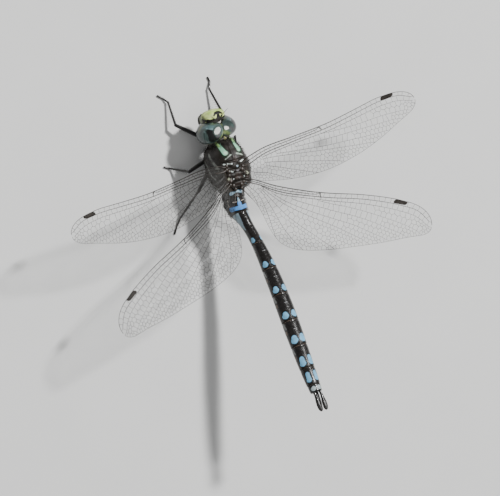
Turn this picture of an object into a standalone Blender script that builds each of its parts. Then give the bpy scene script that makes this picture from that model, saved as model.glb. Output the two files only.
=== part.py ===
"""A male mosaic darner dragonfly at rest, life size, standing on its six feet.

The insect faces -Y, its left side is +X and +Z is up.  The feet stand on z = 0.
Sizes are in millimetres and are turned to metres by MM where a mesh is made.
"""
import math

import bmesh
import bpy
from mathutils import Matrix, Vector

MM = 0.001

# ---- driving sizes (mm) ----------------------------------------------------
JOINT_GAP = 0.10            # clearance between neighbouring plates
HEAD_CENTRE = Vector((-0.25, -8.90, 7.95))
HEAD_TURN = math.radians(4.6)       # towards the insect's left
HEAD_LIFT = math.radians(14.8)      # face upwards
HEAD_LEAN = math.radians(12.0)      # crown towards the insect's right
EYE_RADII = Vector((3.0, 2.43, 3.15))
EYE_OFFSET = Vector((1.52, 0.20, 0.05))
EYE_BACK = 2.42             # the flat rear of each eye, behind the head's centre
ANTENNA_LENGTH = 2.9
FEELER_RADIUS = 0.25
THORAX_FRONT = -5.25
THORAX_REAR = 4.3
THORAX_SHIFT = -0.3         # the chest leans a little to the insect's right
WING_THICKNESS = 0.5
FOREWING_LENGTH = 39.6
HINDWING_LENGTH = 41.0
FOREWING_CHORD = 9.6
HINDWING_CHORD = 13.0
FOREWING_HINGE = Vector((2.55, -0.75, 13.2))
HINDWING_HINGE = Vector((2.45, 2.95, 12.45))
ABDOMEN_START = Vector((0.0, 4.4, 9.6))
ABDOMEN_RISE = (            # distance along the abdomen, slope in degrees
    (0.0, 1.0), (1.5, 4.0), (3.5, 10.0), (6.0, 19.0), (9.5, 26.0), (24.0, 24.0), (46.6, 20.5))
ABDOMEN_BEND = (            # distance along the abdomen, sideways shift
    (0.0, 0.45), (2.0, 0.6), (4.5, 0.5), (7.0, 0.0), (9.5, -0.38), (12.5, -0.6),
    (16.0, -0.68), (22.0, -0.6), (28.0, -0.32), (34.0, 0.03), (39.0, 0.30), (43.0, 0.46),
    (46.6, 0.52))
SEGMENT_LENGTHS = (1.7, 3.5, 7.4, 6.2, 5.95, 6.1, 5.6, 5.0, 3.7, 1.6)
CERCUS_LENGTH = 4.1
COXA_BACK = -5.95           # where a front leg leaves the collar: y and z
COXA_HEIGHT = 6.0
FEMUR_RADIUS = 0.46
TIBIA_RADIUS = 0.31
TARSUS_RADIUS = 0.27

# Along the abdomen: distance from its start, width, height.
ABDOMEN_SECTIONS = (
    (0.0, 4.2, 5.0), (1.4, 4.5, 5.2), (3.2, 4.4, 5.1), (4.8, 3.95, 4.5), (6.4, 3.0, 3.5),
    (8.2, 2.5, 2.75), (10.2, 2.45, 2.65), (12.6, 2.6, 2.75), (15.5, 2.9, 2.9),
    (19.0, 3.3, 3.05), (25.0, 3.65, 3.15), (31.0, 3.8, 3.15), (36.0, 3.6, 3.0),
    (41.0, 3.3, 2.8), (45.0, 2.9, 2.4), (46.8, 2.5, 2.0))

# Along the thorax: y, underside, top, half width.
THORAX_SECTIONS = (
    (-5.25, 5.7, 11.7, 2.95), (-4.4, 4.7, 12.7, 3.8), (-3.0, 4.2, 13.4, 4.25),
    (-0.9, 4.0, 13.7, 4.45), (1.2, 4.4, 13.4, 4.3), (2.9, 5.3, 12.9, 3.9),
    (3.9, 6.4, 12.4, 3.3), (4.3, 7.0, 12.1, 2.9))

# Along the head capsule, from the head centre: y, underside, top, half width.
HEAD_SECTIONS = (
    (-3.76, -1.25, 0.75, 0.9), (-3.5, -1.95, 1.3, 1.75), (-2.9, -2.55, 1.7, 2.4),
    (-2.0, -2.9, 1.85, 2.6), (-1.0, -2.9, 1.8, 2.4), (0.2, -2.2, 1.6, 1.7),
    (1.0, -1.4, 1.2, 1.0))

# Each leg: hip, knee, end of the tibia, middle of the tarsus, claw.
LEG_JOINTS = {
    "fore": {
        "left": ((1.55, -7.2, 4.4), (6.1, -11.3, 2.5), (5.75, -16.2, 0.75),
                 (6.5, -17.2, 0.30), (7.6, -18.2, 0.24)),
        "right": ((-1.55, -7.2, 4.4), (-4.5, -11.4, 2.9), (-3.9, -16.5, 0.75),
                  (-4.6, -17.9, 0.30), (-4.4, -19.0, 0.24))},
    "mid": {
        "left": ((1.6, -2.9, 4.7), (6.4, -1.3, 4.0), (8.5, -2.5, 0.75),
                 (9.3, -2.95, 0.30), (10.25, -3.45, 0.24)),
        "right": ((-1.6, -2.9, 4.7), (-5.7, -1.8, 4.0), (-6.7, -3.6, 0.75),
                  (-6.9, -4.5, 0.30), (-7.1, -5.6, 0.24))},
    "hind": {
        "left": ((1.7, -1.1, 4.8), (5.9, 3.1, 4.9), (9.7, 7.7, 0.75),
                 (10.7, 9.1, 0.30), (11.8, 10.8, 0.24)),
        "right": ((-1.7, -1.1, 4.8), (-4.7, 3.4, 4.9), (-4.6, 8.4, 0.75),
                  (-4.5, 10.0, 0.30), (-4.4, 12.0, 0.24))}}

# Wing directions: sweep is backwards, rise and pitch (rear edge down) in degrees.
WING_SET = {
    "forewing": {"left": (0.7, 9.8, -3.0), "right": (-9.2, 7.5, -4.0)},
    "hindwing": {"left": (28.0, 10.4, -3.0), "right": (24.0, 10.4, -3.0)}}

# Wing edges in parts of length and chord, up to where the round tip begins.
TIP_START = 0.86            # part of a wing's length where its round tip begins
TIP_DROP = -0.33            # how far the tip lies behind the leading edge, in chords
WING_EDGES = {
    "forewing": {
        "lead": ((0.0, 0.03), (0.06, 0.08), (0.16, 0.11), (0.30, 0.06), (0.50, 0.0),
                 (0.66, 0.01), (0.80, 0.03), (0.86, 0.01)),
        "trail": ((0.0, -0.20), (0.05, -0.48), (0.12, -0.62), (0.25, -0.80), (0.42, -0.92),
                  (0.60, -0.90), (0.74, -0.80), (0.86, -0.66))},
    "hindwing": {
        "lead": ((0.0, 0.03), (0.08, 0.0), (0.18, -0.04), (0.34, -0.05), (0.46, -0.03),
                 (0.62, 0.02), (0.78, 0.03), (0.86, 0.01)),
        "trail": ((0.0, -0.16), (0.04, -0.26), (0.08, -0.36), (0.11, -0.47), (0.15, -0.66),
                  (0.19, -0.82), (0.235, -0.94), (0.32, -1.0), (0.47, -0.94), (0.64, -0.80), (0.76, -0.69), (0.86, -0.58))}}

COLOURS = {
    "face": (0.46, 0.55, 0.14, 1), "eye": (0.06, 0.12, 0.14, 1), "shell": (0.035, 0.025, 0.02, 1),
    "thorax": (0.05, 0.035, 0.02, 1), "black": (0.012, 0.012, 0.012, 1),
    "wing": (0.45, 0.42, 0.38, 1)}


# ---- helpers ---------------------------------------------------------------
def clear_scene():
    """Remove every object so that the file can be run again."""
    for old in list(bpy.data.objects):
        bpy.data.objects.remove(old, do_unlink=True)


def finish_material(node, key, roughness):
    """Give a node its own material with a plain Principled finish."""
    material = bpy.data.materials.new(node.name + "_finish")
    material.use_nodes = True
    shader = material.node_tree.nodes["Principled BSDF"]
    shader.inputs["Base Color"].default_value = COLOURS[key]
    shader.inputs["Roughness"].default_value = roughness
    shader.inputs["Metallic"].default_value = 0.0
    node.data.materials.append(material)


def make_node(name, shape, key, roughness=0.4, sharp=math.radians(40)):
    """Turn a bmesh in millimetres into a named object in metres."""
    bmesh.ops.recalc_face_normals(shape, faces=shape.faces)
    bmesh.ops.scale(shape, vec=(MM, MM, MM), verts=shape.verts)
    mesh = bpy.data.meshes.new(name)
    shape.to_mesh(mesh)
    shape.free()
    mesh.shade_smooth()
    mesh.set_sharp_from_angle(angle=sharp)
    node = bpy.data.objects.new(name, mesh)
    bpy.context.collection.objects.link(node)
    finish_material(node, key, roughness)
    return node


def smooth_read(table, place):
    """Read a row of values from a table at a place, along smooth curves."""
    last = len(table) - 1
    for index in range(last):
        if place <= table[index + 1][0] or index == last - 1:
            break
    before = table[max(index - 1, 0)]
    start, end = table[index], table[index + 1]
    after = table[min(index + 2, last)]
    span = end[0] - start[0]
    t = min(max((place - start[0]) / span, 0.0), 1.0)
    values = []
    for column in range(1, len(start)):
        slope_in = (end[column] - before[column]) / max(end[0] - before[0], 1e-6) * span
        slope_out = (after[column] - start[column]) / max(after[0] - start[0], 1e-6) * span
        a, b = start[column], end[column]
        values.append(a + slope_in * t + (3 * (b - a) - 2 * slope_in - slope_out) * t ** 2
                      + (2 * (a - b) + slope_in + slope_out) * t ** 3)
    return values


def spread(start, end, count):
    """Evenly spaced values from start to end."""
    return [start + (end - start) * index / (count - 1) for index in range(count)]


def loft(rings):
    """Join rings of points to one closed skin with flat ends."""
    shape = bmesh.new()
    loops = [[shape.verts.new(point) for point in ring] for ring in rings]
    for first, second in zip(loops, loops[1:]):
        count = len(first)
        for index in range(count):
            after = (index + 1) % count
            shape.faces.new((first[index], first[after], second[after], second[index]))
    shape.faces.new(loops[0])
    shape.faces.new(loops[-1])
    return shape


def rounded_ring(half_width, half_height, count, power=2.0):
    """Points of a rounded section in a plane, as (across, up) pairs."""
    points = []
    for index in range(count):
        turn = 2 * math.pi * index / count
        across, up = math.cos(turn), math.sin(turn)
        across = math.copysign(abs(across) ** (2 / power), across)
        up = math.copysign(abs(up) ** (2 / power), up)
        points.append((half_width * across, half_height * up))
    return points


def tube(path, radii, sides):
    """A closed round limb along a path of points, with a radius at each."""
    path = [Vector(point) for point in path]
    rings = []
    for index, point in enumerate(path):
        ahead = path[min(index + 1, len(path) - 1)] - path[max(index - 1, 0)]
        ahead.normalize()
        side = ahead.cross(Vector((0, 0, 1)))
        if side.length < 0.2:
            side = ahead.cross(Vector((0, 1, 0)))
        side.normalize()
        up = side.cross(ahead)
        rings.append([point + side * a + up * b
                      for a, b in rounded_ring(radii[index], radii[index], sides)])
    return loft(rings)


def limb(start, end, start_radius, middle_radius, end_radius, sides=10, rows=5):
    """A straight limb with rounded ends that swells towards its middle."""
    start, end = Vector(start), Vector(end)
    length = (end - start).length
    path, radii = [], []
    for index in range(rows + 1):
        t = index / rows
        swell = 4 * t * (1 - t)
        base = start_radius + (end_radius - start_radius) * t
        path.append(start.lerp(end, t))
        radii.append(base + (middle_radius - (start_radius + end_radius) / 2) * swell)
    inset = 0.45
    cap_in, cap_out = start_radius * inset / length, end_radius * inset / length
    path = [start.lerp(end, -cap_in)] + path + [start.lerp(end, 1 + cap_out)]
    radii = [start_radius * 0.6] + radii + [end_radius * 0.6]
    return tube(path, radii, sides)


def slice_off(shape, place, facing):
    """Cut away what lies past a plane and close the cut."""
    cut = bmesh.ops.bisect_plane(
        shape, geom=shape.verts[:] + shape.edges[:] + shape.faces[:],
        plane_co=place, plane_no=facing, clear_outer=True)
    edges = [item for item in cut["geom_cut"] if isinstance(item, bmesh.types.BMEdge)]
    bmesh.ops.holes_fill(shape, edges=edges)


def clear_of(node, neighbour, gap=JOINT_GAP):
    """Cut a node back so that it meets its neighbour with a small gap."""
    mesh = neighbour.data.copy()
    shape = bmesh.new()
    shape.from_mesh(mesh)
    for vert in shape.verts:
        vert.normal_update()
    moves = [vert.normal * gap * MM * min(vert.calc_shell_factor(), 1.6) for vert in shape.verts]
    for vert, move in zip(shape.verts, moves):
        vert.co += move
    shape.to_mesh(mesh)
    shape.free()
    cutter = bpy.data.objects.new(f"cutter_{neighbour.name}_{node.name}", mesh)
    bpy.context.collection.objects.link(cutter)
    cutter.hide_render = True
    cutter.display_type = "WIRE"
    cut = node.modifiers.new("clear_" + neighbour.name, "BOOLEAN")
    cut.operation = "DIFFERENCE"
    cut.solver = "EXACT"
    cut.object = cutter


# ---- head ------------------------------------------------------------------
def head_frame():
    """Place and turn of the head."""
    return (Matrix.Translation(HEAD_CENTRE) @ Matrix.Rotation(HEAD_TURN, 4, "Z")
            @ Matrix.Rotation(-HEAD_LIFT, 4, "X") @ Matrix.Rotation(-HEAD_LEAN, 4, "Y"))


def build_eye(side):
    """One large compound eye, flat where it meets the other one."""
    sign = 1 if side == "left" else -1
    shape = bmesh.new()
    bmesh.ops.create_uvsphere(shape, u_segments=22, v_segments=14, radius=1.0)
    for vert in shape.verts:
        reach = 1.0 + 0.06 * max(vert.co.y, 0) * abs(vert.co.x)
        vert.co = Vector((vert.co.x * EYE_RADII.x * reach, vert.co.y * EYE_RADII.y * reach,
                          vert.co.z * EYE_RADII.z))
        vert.co.y += 0.16 * vert.co.x * sign
    bmesh.ops.translate(shape, vec=(EYE_OFFSET.x * sign, EYE_OFFSET.y, EYE_OFFSET.z),
                        verts=shape.verts)
    slice_off(shape, (JOINT_GAP / 2 * sign, 0, 0), (-sign, 0, 0))
    slice_off(shape, (0, EYE_BACK, 0), (0, 1, 0))
    bmesh.ops.transform(shape, matrix=head_frame(), verts=shape.verts)
    return make_node("eye_" + side, shape, "eye", 0.15)


def build_head(eyes):
    """Face, crown and back of the head in one capsule, cut by both eyes."""
    rings = []
    for y in spread(HEAD_SECTIONS[0][0], HEAD_SECTIONS[-1][0], 11):
        low, high, half = smooth_read(HEAD_SECTIONS, y)
        middle = (low + high) / 2
        rings.append([Vector((a, y, middle + b))
                      for a, b in rounded_ring(half, (high - low) / 2, 18, 2.3)])
    shape = loft(rings)
    bmesh.ops.transform(shape, matrix=head_frame(), verts=shape.verts)
    head = make_node("head", shape, "face", 0.35)
    for eye in eyes:
        clear_of(head, eye, 0.06)
    return head


def build_mouthparts(head, eyes):
    """The jaws and lower lip below the face."""
    rings = []
    for t in spread(0.0, 1.0, 6):
        y = -2.9 + 2.9 * t
        bulge = math.sin(math.pi * (0.12 + 0.76 * t))
        rings.append([Vector((a, y, -3.25 + b))
                      for a, b in rounded_ring(1.75 * bulge, 0.85 * bulge, 12, 2.4)])
    shape = loft(rings)
    bmesh.ops.transform(shape, matrix=head_frame(), verts=shape.verts)
    jaws = make_node("mouthparts", shape, "shell", 0.4)
    for neighbour in [head, *eyes]:
        clear_of(jaws, neighbour, 0.08)


def build_antenna(side, head):
    """A short bristle feeler on its thicker foot."""
    sign = 1 if side == "left" else -1
    root = Vector((0.8 * sign, -2.35, 1.55))
    aim = Vector((0.62 * sign, -0.66, 0.42)).normalized()
    path = [root + aim * ANTENNA_LENGTH * t + Vector((0, 0, 0.35 * t * t))
            for t in (0.0, 0.16, 0.22, 0.5, 0.8, 1.0)]
    radii = [FEELER_RADIUS * size for size in (1.3, 1.3, 1.0, 0.98, 0.95, 0.9)]
    shape = tube(path, radii, 8)
    bmesh.ops.transform(shape, matrix=head_frame(), verts=shape.verts)
    antenna = make_node("antenna_" + side, shape, "black", 0.4)
    clear_of(antenna, head, 0.06)
    return antenna


# ---- trunk -----------------------------------------------------------------
def build_neck():
    """The thin neck between the head and the collar."""
    path = [(-0.05, -6.84, 7.9), (0, -6.58, 7.95), (0, -6.32, 8.0)]
    return make_node("neck", tube(path, (0.75, 0.7, 0.8), 14), "black", 0.5)


def build_prothorax():
    """The small collar that carries the front legs."""
    sections = ((-6.2, 6.9, 9.2, 1.2), (-5.9, 6.3, 9.5, 1.7), (-5.6, 5.9, 9.6, 1.9),
                (-5.36, 6.0, 9.6, 1.85))
    rings = []
    for y, low, high, half in sections:
        rings.append([Vector((a, y, (low + high) / 2 + b))
                      for a, b in rounded_ring(half, (high - low) / 2, 16, 2.2)])
    return make_node("prothorax", loft(rings), "thorax", 0.45)


def build_thorax():
    """The deep, tilted chest that carries the wings."""
    rings = []
    for y in spread(THORAX_FRONT, THORAX_REAR, 15):
        low, high, half = smooth_read(THORAX_SECTIONS, y)
        rings.append([Vector((a + THORAX_SHIFT, y, (low + high) / 2 + b))
                      for a, b in rounded_ring(half, (high - low) / 2, 24, 2.45)])
    return make_node("thorax", loft(rings), "thorax", 0.4)


# ---- abdomen ---------------------------------------------------------------
def abdomen_place(distance):
    """Point and forward direction on the abdomen's centre line."""
    steps = 60
    point = ABDOMEN_START + Vector((smooth_read(ABDOMEN_BEND, distance)[0], 0, 0))
    for index in range(steps):
        rise = math.radians(smooth_read(ABDOMEN_RISE, distance * (index + 0.5) / steps)[0])
        point = point + Vector((0, math.cos(rise), math.sin(rise))) * distance / steps
    rise = math.radians(smooth_read(ABDOMEN_RISE, distance)[0])
    return point, Vector((0, math.cos(rise), math.sin(rise)))


def abdomen_ring(distance, swell, count=16):
    """One ring around the abdomen, square to its centre line."""
    width, height = smooth_read(ABDOMEN_SECTIONS, distance)
    point, ahead = abdomen_place(distance)
    up = Vector((0, -ahead.z, ahead.y))
    return [point + Vector((a, 0, 0)) + up * b
            for a, b in rounded_ring(width / 2 * swell, height / 2 * swell, count, 2.1)]


def build_abdomen():
    """Ten segments, each one a little narrower at its joints."""
    segments = []
    start = 0.0
    for number, length in enumerate(SEGMENT_LENGTHS, start=1):
        end = start + length
        rows = 5 if length < 3.5 else 7
        rings = []
        for t in spread(0.0, 1.0, rows):
            distance = start + JOINT_GAP / 2 + (length - JOINT_GAP) * t
            joint = max(0.0, 1 - min(t, 1 - t) * length / 0.35)
            rings.append(abdomen_ring(distance, 1 - 0.05 * joint))
        segments.append(make_node(f"abdomen_{number}", loft(rings), "black", 0.3))
        start = end
    return segments


def tail_frame():
    """Place and direction of the abdomen's end."""
    point, ahead = abdomen_place(sum(SEGMENT_LENGTHS))
    up = Vector((0, -ahead.z, ahead.y))
    return point, ahead, up


def build_cercus(side):
    """An upper tail clasper: a narrow stalk that widens to a paddle."""
    sign = 1 if side == "left" else -1
    point, ahead, up = tail_frame()
    profile = ((0.0, 0.30, 0.34), (0.16, 0.26, 0.32), (0.36, 0.36, 0.30), (0.6, 0.52, 0.27),
               (0.82, 0.52, 0.25), (0.96, 0.34, 0.25), (1.0, 0.18, 0.2))
    rings = []
    for t, half, thick in profile:
        across = 0.66 + 0.05 * math.sin(math.pi * t) - 0.10 * t
        centre = (point + ahead * (JOINT_GAP + CERCUS_LENGTH * t) + up * (0.42 - 0.3 * t * t)
                  + Vector((across * sign, 0, 0)))
        rings.append([centre + Vector((a, 0, 0)) + up * b
                      for a, b in rounded_ring(half, thick, 12, 2.2)])
    return make_node("cercus_" + side, loft(rings), "black", 0.25)


def build_epiproct():
    """The single lower tail plate between the claspers."""
    point, ahead, up = tail_frame()
    rings = []
    for t, half, thick in ((0.0, 0.55, 0.26), (0.35, 0.46, 0.26), (0.75, 0.32, 0.25),
                           (1.0, 0.18, 0.2)):
        centre = point + ahead * (JOINT_GAP + 2.9 * t) - up * (0.42 - 0.12 * t)
        rings.append([centre + Vector((a, 0, 0)) + up * b
                      for a, b in rounded_ring(half, thick, 10, 2.2)])
    return make_node("epiproct", loft(rings), "black", 0.3)


# ---- wings -----------------------------------------------------------------
def wing_frame(pair, side):
    """Hinge, outward, rearward and upward directions of a wing."""
    sign = 1 if side == "left" else -1
    sweep, rise, pitch = (math.radians(value) for value in WING_SET[pair][side])
    out = Vector((sign * math.cos(sweep) * math.cos(rise), math.sin(sweep) * math.cos(rise),
                  math.sin(rise)))
    level = Vector((-sign * math.sin(sweep), math.cos(sweep), 0))
    normal = level.cross(out) * -sign
    rear = level * math.cos(pitch) - normal * math.sin(pitch)
    normal = (rear.cross(out) * -sign).normalized()
    hinge = (FOREWING_HINGE if pair == "forewing" else HINDWING_HINGE).copy()
    hinge.x *= sign
    return hinge, out, rear, normal


def edge_offset(table, u):
    """How far an edge lies before the hinge line, with an elliptical tip."""
    if u <= TIP_START:
        return smooth_read(table, u)[0]
    base = table[-1][1]
    slope = (table[-1][1] - table[-2][1]) / (table[-1][0] - table[-2][0])
    reach = (u - TIP_START) / (1 - TIP_START)
    straight = base + slope * (u - TIP_START) * (1 - reach)
    return straight + (TIP_DROP - straight) * (1 - math.sqrt(max(1 - reach ** 2, 0)))


def build_wing(pair, side, neighbours):
    """A thin flat wing with its true outline, cut back at its root."""
    length = FOREWING_LENGTH if pair == "forewing" else HINDWING_LENGTH
    chord = FOREWING_CHORD if pair == "forewing" else HINDWING_CHORD
    hinge, out, rear, normal = wing_frame(pair, side)
    edges = WING_EDGES[pair]
    places = [TIP_START * t ** 1.15 for t in spread(0.0, 1.0, 16)]
    places += [TIP_START + (1 - TIP_START) * math.sin(turn)
               for turn in spread(0.0, math.pi / 2, 8)[1:]]
    lead = [(u, edge_offset(edges["lead"], u)) for u in places]
    trail = [(u, edge_offset(edges["trail"], u)) for u in places[:-1]]
    outline = lead + trail[::-1]
    shape = bmesh.new()
    layers = []
    for lift in (-0.5, 0.5):
        layer = []
        for u, v in outline:
            place = (hinge + out * (u * length - 0.9) - rear * v * chord
                     + normal * lift * WING_THICKNESS)
            layer.append(shape.verts.new(place))
        layers.append(layer)
    count = len(outline)
    for index in range(count):
        after = (index + 1) % count
        shape.faces.new((layers[0][index], layers[0][after], layers[1][after], layers[1][index]))
    shape.faces.new(layers[0])
    shape.faces.new(layers[1])
    wing = make_node(f"{pair}_{side}", shape, "wing", 0.2)
    for neighbour in neighbours:
        clear_of(wing, neighbour)
    return wing


# ---- legs ------------------------------------------------------------------
def build_leg(pair, side, thorax, prothorax):
    """Thigh, shin and foot of one leg; the foot stands on a small flat."""
    hip, knee, ankle, ball, claw = (Vector(point) for point in LEG_JOINTS[pair][side])
    if pair == "fore":
        root = Vector((hip.x * 0.7, COXA_BACK, COXA_HEIGHT))
        shape = tube([root, root.lerp(hip, 0.5), hip, hip.lerp(knee, 0.5), knee],
                     (0.62, 0.6, 0.52, FEMUR_RADIUS, 0.34), 10)
    else:
        shape = limb(hip, knee, 0.42, FEMUR_RADIUS, 0.36)
    femur = make_node(f"{pair}_femur_{side}", shape, "black", 0.35)
    clear_of(femur, thorax)
    if pair == "fore":
        clear_of(femur, prothorax)
    shin = (ankle - knee).normalized()
    tibia = make_node(f"{pair}_tibia_{side}",
                      limb(knee + shin * 0.2, ankle, 0.3, TIBIA_RADIUS, 0.27), "black", 0.35)
    clear_of(tibia, femur)
    path = [ankle, ball, ball.lerp(claw, 0.5), claw]
    radii = [TARSUS_RADIUS, TARSUS_RADIUS, TARSUS_RADIUS, TARSUS_RADIUS * 0.92]
    shape = tube(path, radii, 10)
    slice_off(shape, (0, 0, 0), (0, 0, -1))
    tarsus = make_node(f"{pair}_tarsus_{side}", shape, "black", 0.4)
    clear_of(tarsus, tibia)
    return femur, tibia, tarsus


# ---- the whole insect ------------------------------------------------------
def stand_on_origin():
    """Hang every piece on one empty, so that the footprint's middle is the origin."""
    bpy.context.view_layer.update()
    depsgraph = bpy.context.evaluated_depsgraph_get()
    corners = []
    for node in bpy.data.objects:
        if not node.hide_render:
            shape = node.evaluated_get(depsgraph)
            corners += [shape.matrix_world @ Vector(corner) for corner in shape.bound_box]
    centre_x = (min(c.x for c in corners) + max(c.x for c in corners)) / 2
    centre_y = (min(c.y for c in corners) + max(c.y for c in corners)) / 2
    base = bpy.data.objects.new("dragonfly", None)
    bpy.context.collection.objects.link(base)
    base.location = (-centre_x, -centre_y, 0)
    for node in bpy.data.objects:
        if node is not base:
            node.parent = base


def main():
    """Build every sub-part."""
    clear_scene()
    eyes = [build_eye(side) for side in ("left", "right")]
    head = build_head(eyes)
    build_mouthparts(head, eyes)
    for side in ("left", "right"):
        build_antenna(side, head)
    neck = build_neck()
    prothorax = build_prothorax()
    for eye in eyes:
        clear_of(eye, neck)
        clear_of(eye, prothorax)
    thorax = build_thorax()
    segments = build_abdomen()
    for side in ("left", "right"):
        build_wing("forewing", side, [thorax])
        build_wing("hindwing", side, [thorax, segments[0], segments[1]])
    build_epiproct()
    for side in ("left", "right"):
        build_cercus(side)
        for pair in ("fore", "mid", "hind"):
            build_leg(pair, side, thorax, prothorax)
    stand_on_origin()


main()
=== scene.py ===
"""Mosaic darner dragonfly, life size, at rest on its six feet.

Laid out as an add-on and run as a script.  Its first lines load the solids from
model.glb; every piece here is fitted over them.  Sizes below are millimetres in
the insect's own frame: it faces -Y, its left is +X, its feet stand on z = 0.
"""
import math

import bpy
import numpy as np
from bpy.props import FloatProperty, FloatVectorProperty, IntProperty, PointerProperty
from mathutils import Matrix, Vector, geometry


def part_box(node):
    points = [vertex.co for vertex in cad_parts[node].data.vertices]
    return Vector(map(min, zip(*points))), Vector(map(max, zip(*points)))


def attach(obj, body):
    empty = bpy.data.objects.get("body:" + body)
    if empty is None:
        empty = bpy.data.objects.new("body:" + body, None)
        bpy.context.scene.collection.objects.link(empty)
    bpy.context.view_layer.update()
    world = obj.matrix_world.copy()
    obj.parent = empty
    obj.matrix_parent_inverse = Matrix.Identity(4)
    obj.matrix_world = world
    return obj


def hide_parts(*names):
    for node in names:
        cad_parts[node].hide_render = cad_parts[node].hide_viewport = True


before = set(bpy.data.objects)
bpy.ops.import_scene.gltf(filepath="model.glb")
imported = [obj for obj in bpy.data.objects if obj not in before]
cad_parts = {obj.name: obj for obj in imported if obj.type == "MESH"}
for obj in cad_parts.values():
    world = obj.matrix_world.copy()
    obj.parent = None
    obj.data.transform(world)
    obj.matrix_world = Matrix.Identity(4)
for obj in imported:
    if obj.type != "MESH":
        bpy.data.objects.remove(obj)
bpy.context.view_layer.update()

bl_info = {
    "name": "Mosaic Darner",
    "version": (1, 0, 0),
    "blender": (4, 5, 0),
    "location": "View3D > Sidebar > Darner",
    "description": "Builds a life-size darner dragonfly over its packed solids",
    "category": "Add Mesh",
}

# ---- sizes shared with the solids (mm) ----
MM = 0.001
HEAD_CENTRE = np.array((-0.25, -8.90, 7.95))
HEAD_TURN = math.radians(4.6)
HEAD_LIFT = math.radians(14.8)
HEAD_LEAN = math.radians(12.0)
EYE_RADII = np.array((3.0, 2.43, 3.15))
EYE_OFFSET = np.array((1.52, 0.20, 0.05))
EYE_BACK = 2.42
THORAX_FRONT = -5.25
THORAX_REAR = 4.3
THORAX_SHIFT = -0.3
WING_LENGTH = {"forewing": 39.6, "hindwing": 41.0}
WING_CHORD = {"forewing": 9.6, "hindwing": 13.0}
WING_HINGE = {"forewing": (2.55, -0.75, 13.2), "hindwing": (2.45, 2.95, 12.45)}
HINGE_INSET = 0.9
FACE_TURN = math.radians(-8)    # the face looks a little aside
FACE_PIVOT = -2.58              # the turn's axis, in the head's own frame
FACE_LEAN = (0.16, 0, 0)        # how far the face's marks sit off its middle
CHEST_LEAN = 0.28               # how far the chest's marks swing aside
CLAW_SET_BACK = 0.22
EAR_PLACE = 1.15                # along the second ring
MEMBRANE_HALF = 0.008
TUBE_CAP = ((0.5, 0.87), (0.87, 0.5), (0.98, 0.17))     # how far out, how wide
HAIRS_PER_TUFT = 4
PATCH_SIZE = 0.003
TIP_START = 0.86
TIP_DROP = -0.33
CERCUS_LENGTH = 4.1
ABDOMEN_START = np.array((0.0, 4.4, 9.6))
ABDOMEN_RISE = (
    (0.0, 1.0), (1.5, 4.0), (3.5, 10.0), (6.0, 19.0), (9.5, 26.0), (24.0, 24.0), (46.6, 20.5))
ABDOMEN_BEND = (
    (0.0, 0.45), (2.0, 0.6), (4.5, 0.5), (7.0, 0.0), (9.5, -0.38), (12.5, -0.6),
    (16.0, -0.68), (22.0, -0.6), (28.0, -0.32), (34.0, 0.03), (39.0, 0.30), (43.0, 0.46),
    (46.6, 0.52))
SEGMENT_LENGTHS = (1.7, 3.5, 7.4, 6.2, 5.95, 6.1, 5.6, 5.0, 3.7, 1.6)
ABDOMEN_SECTIONS = (
    (0.0, 4.2, 5.0), (1.4, 4.5, 5.2), (3.2, 4.4, 5.1), (4.8, 3.95, 4.5), (6.4, 3.0, 3.5),
    (8.2, 2.5, 2.75), (10.2, 2.45, 2.65), (12.6, 2.6, 2.75), (15.5, 2.9, 2.9),
    (19.0, 3.3, 3.05), (25.0, 3.65, 3.15), (31.0, 3.8, 3.15), (36.0, 3.6, 3.0),
    (41.0, 3.3, 2.8), (45.0, 2.9, 2.4), (46.8, 2.5, 2.0))
THORAX_SECTIONS = (
    (-5.25, 5.7, 11.7, 2.95), (-4.4, 4.7, 12.7, 3.8), (-3.0, 4.2, 13.4, 4.25),
    (-0.9, 4.0, 13.7, 4.45), (1.2, 4.4, 13.4, 4.3), (2.9, 5.3, 12.9, 3.9),
    (3.9, 6.4, 12.4, 3.3), (4.3, 7.0, 12.1, 2.9))
HEAD_SECTIONS = (
    (-3.76, -1.25, 0.75, 0.9), (-3.5, -1.95, 1.3, 1.75), (-2.9, -2.55, 1.7, 2.4),
    (-2.0, -2.9, 1.85, 2.6), (-1.0, -2.9, 1.8, 2.4), (0.2, -2.2, 1.6, 1.7),
    (1.0, -1.4, 1.2, 1.0))
COXA_BACK = -5.95
COXA_HEIGHT = 6.0
LEG_JOINTS = {
    "fore_left": ((1.55, -7.2, 4.4), (6.1, -11.3, 2.5), (5.75, -16.2, 0.75),
                  (6.5, -17.2, 0.30), (7.6, -18.2, 0.24)),
    "fore_right": ((-1.55, -7.2, 4.4), (-4.5, -11.4, 2.9), (-3.9, -16.5, 0.75),
                   (-4.6, -17.9, 0.30), (-4.4, -19.0, 0.24)),
    "mid_left": ((1.6, -2.9, 4.7), (6.4, -1.3, 4.0), (8.5, -2.5, 0.75),
                 (9.3, -2.95, 0.30), (10.25, -3.45, 0.24)),
    "mid_right": ((-1.6, -2.9, 4.7), (-5.7, -1.8, 4.0), (-6.7, -3.6, 0.75),
                  (-6.9, -4.5, 0.30), (-7.1, -5.6, 0.24)),
    "hind_left": ((1.7, -1.1, 4.8), (5.9, 3.1, 4.9), (9.7, 7.7, 0.75),
                  (10.7, 9.1, 0.30), (11.8, 10.8, 0.24)),
    "hind_right": ((-1.7, -1.1, 4.8), (-4.7, 3.4, 4.9), (-4.6, 8.4, 0.75),
                   (-4.5, 10.0, 0.30), (-4.4, 12.0, 0.24))}
WING_SET = {                # sweep backwards, rise and pitch, in degrees
    "forewing_left": (0.7, 9.8, -3.0), "forewing_right": (-9.2, 7.5, -4.0),
    "hindwing_left": (28.0, 10.4, -3.0), "hindwing_right": (24.0, 10.4, -3.0)}
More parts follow.
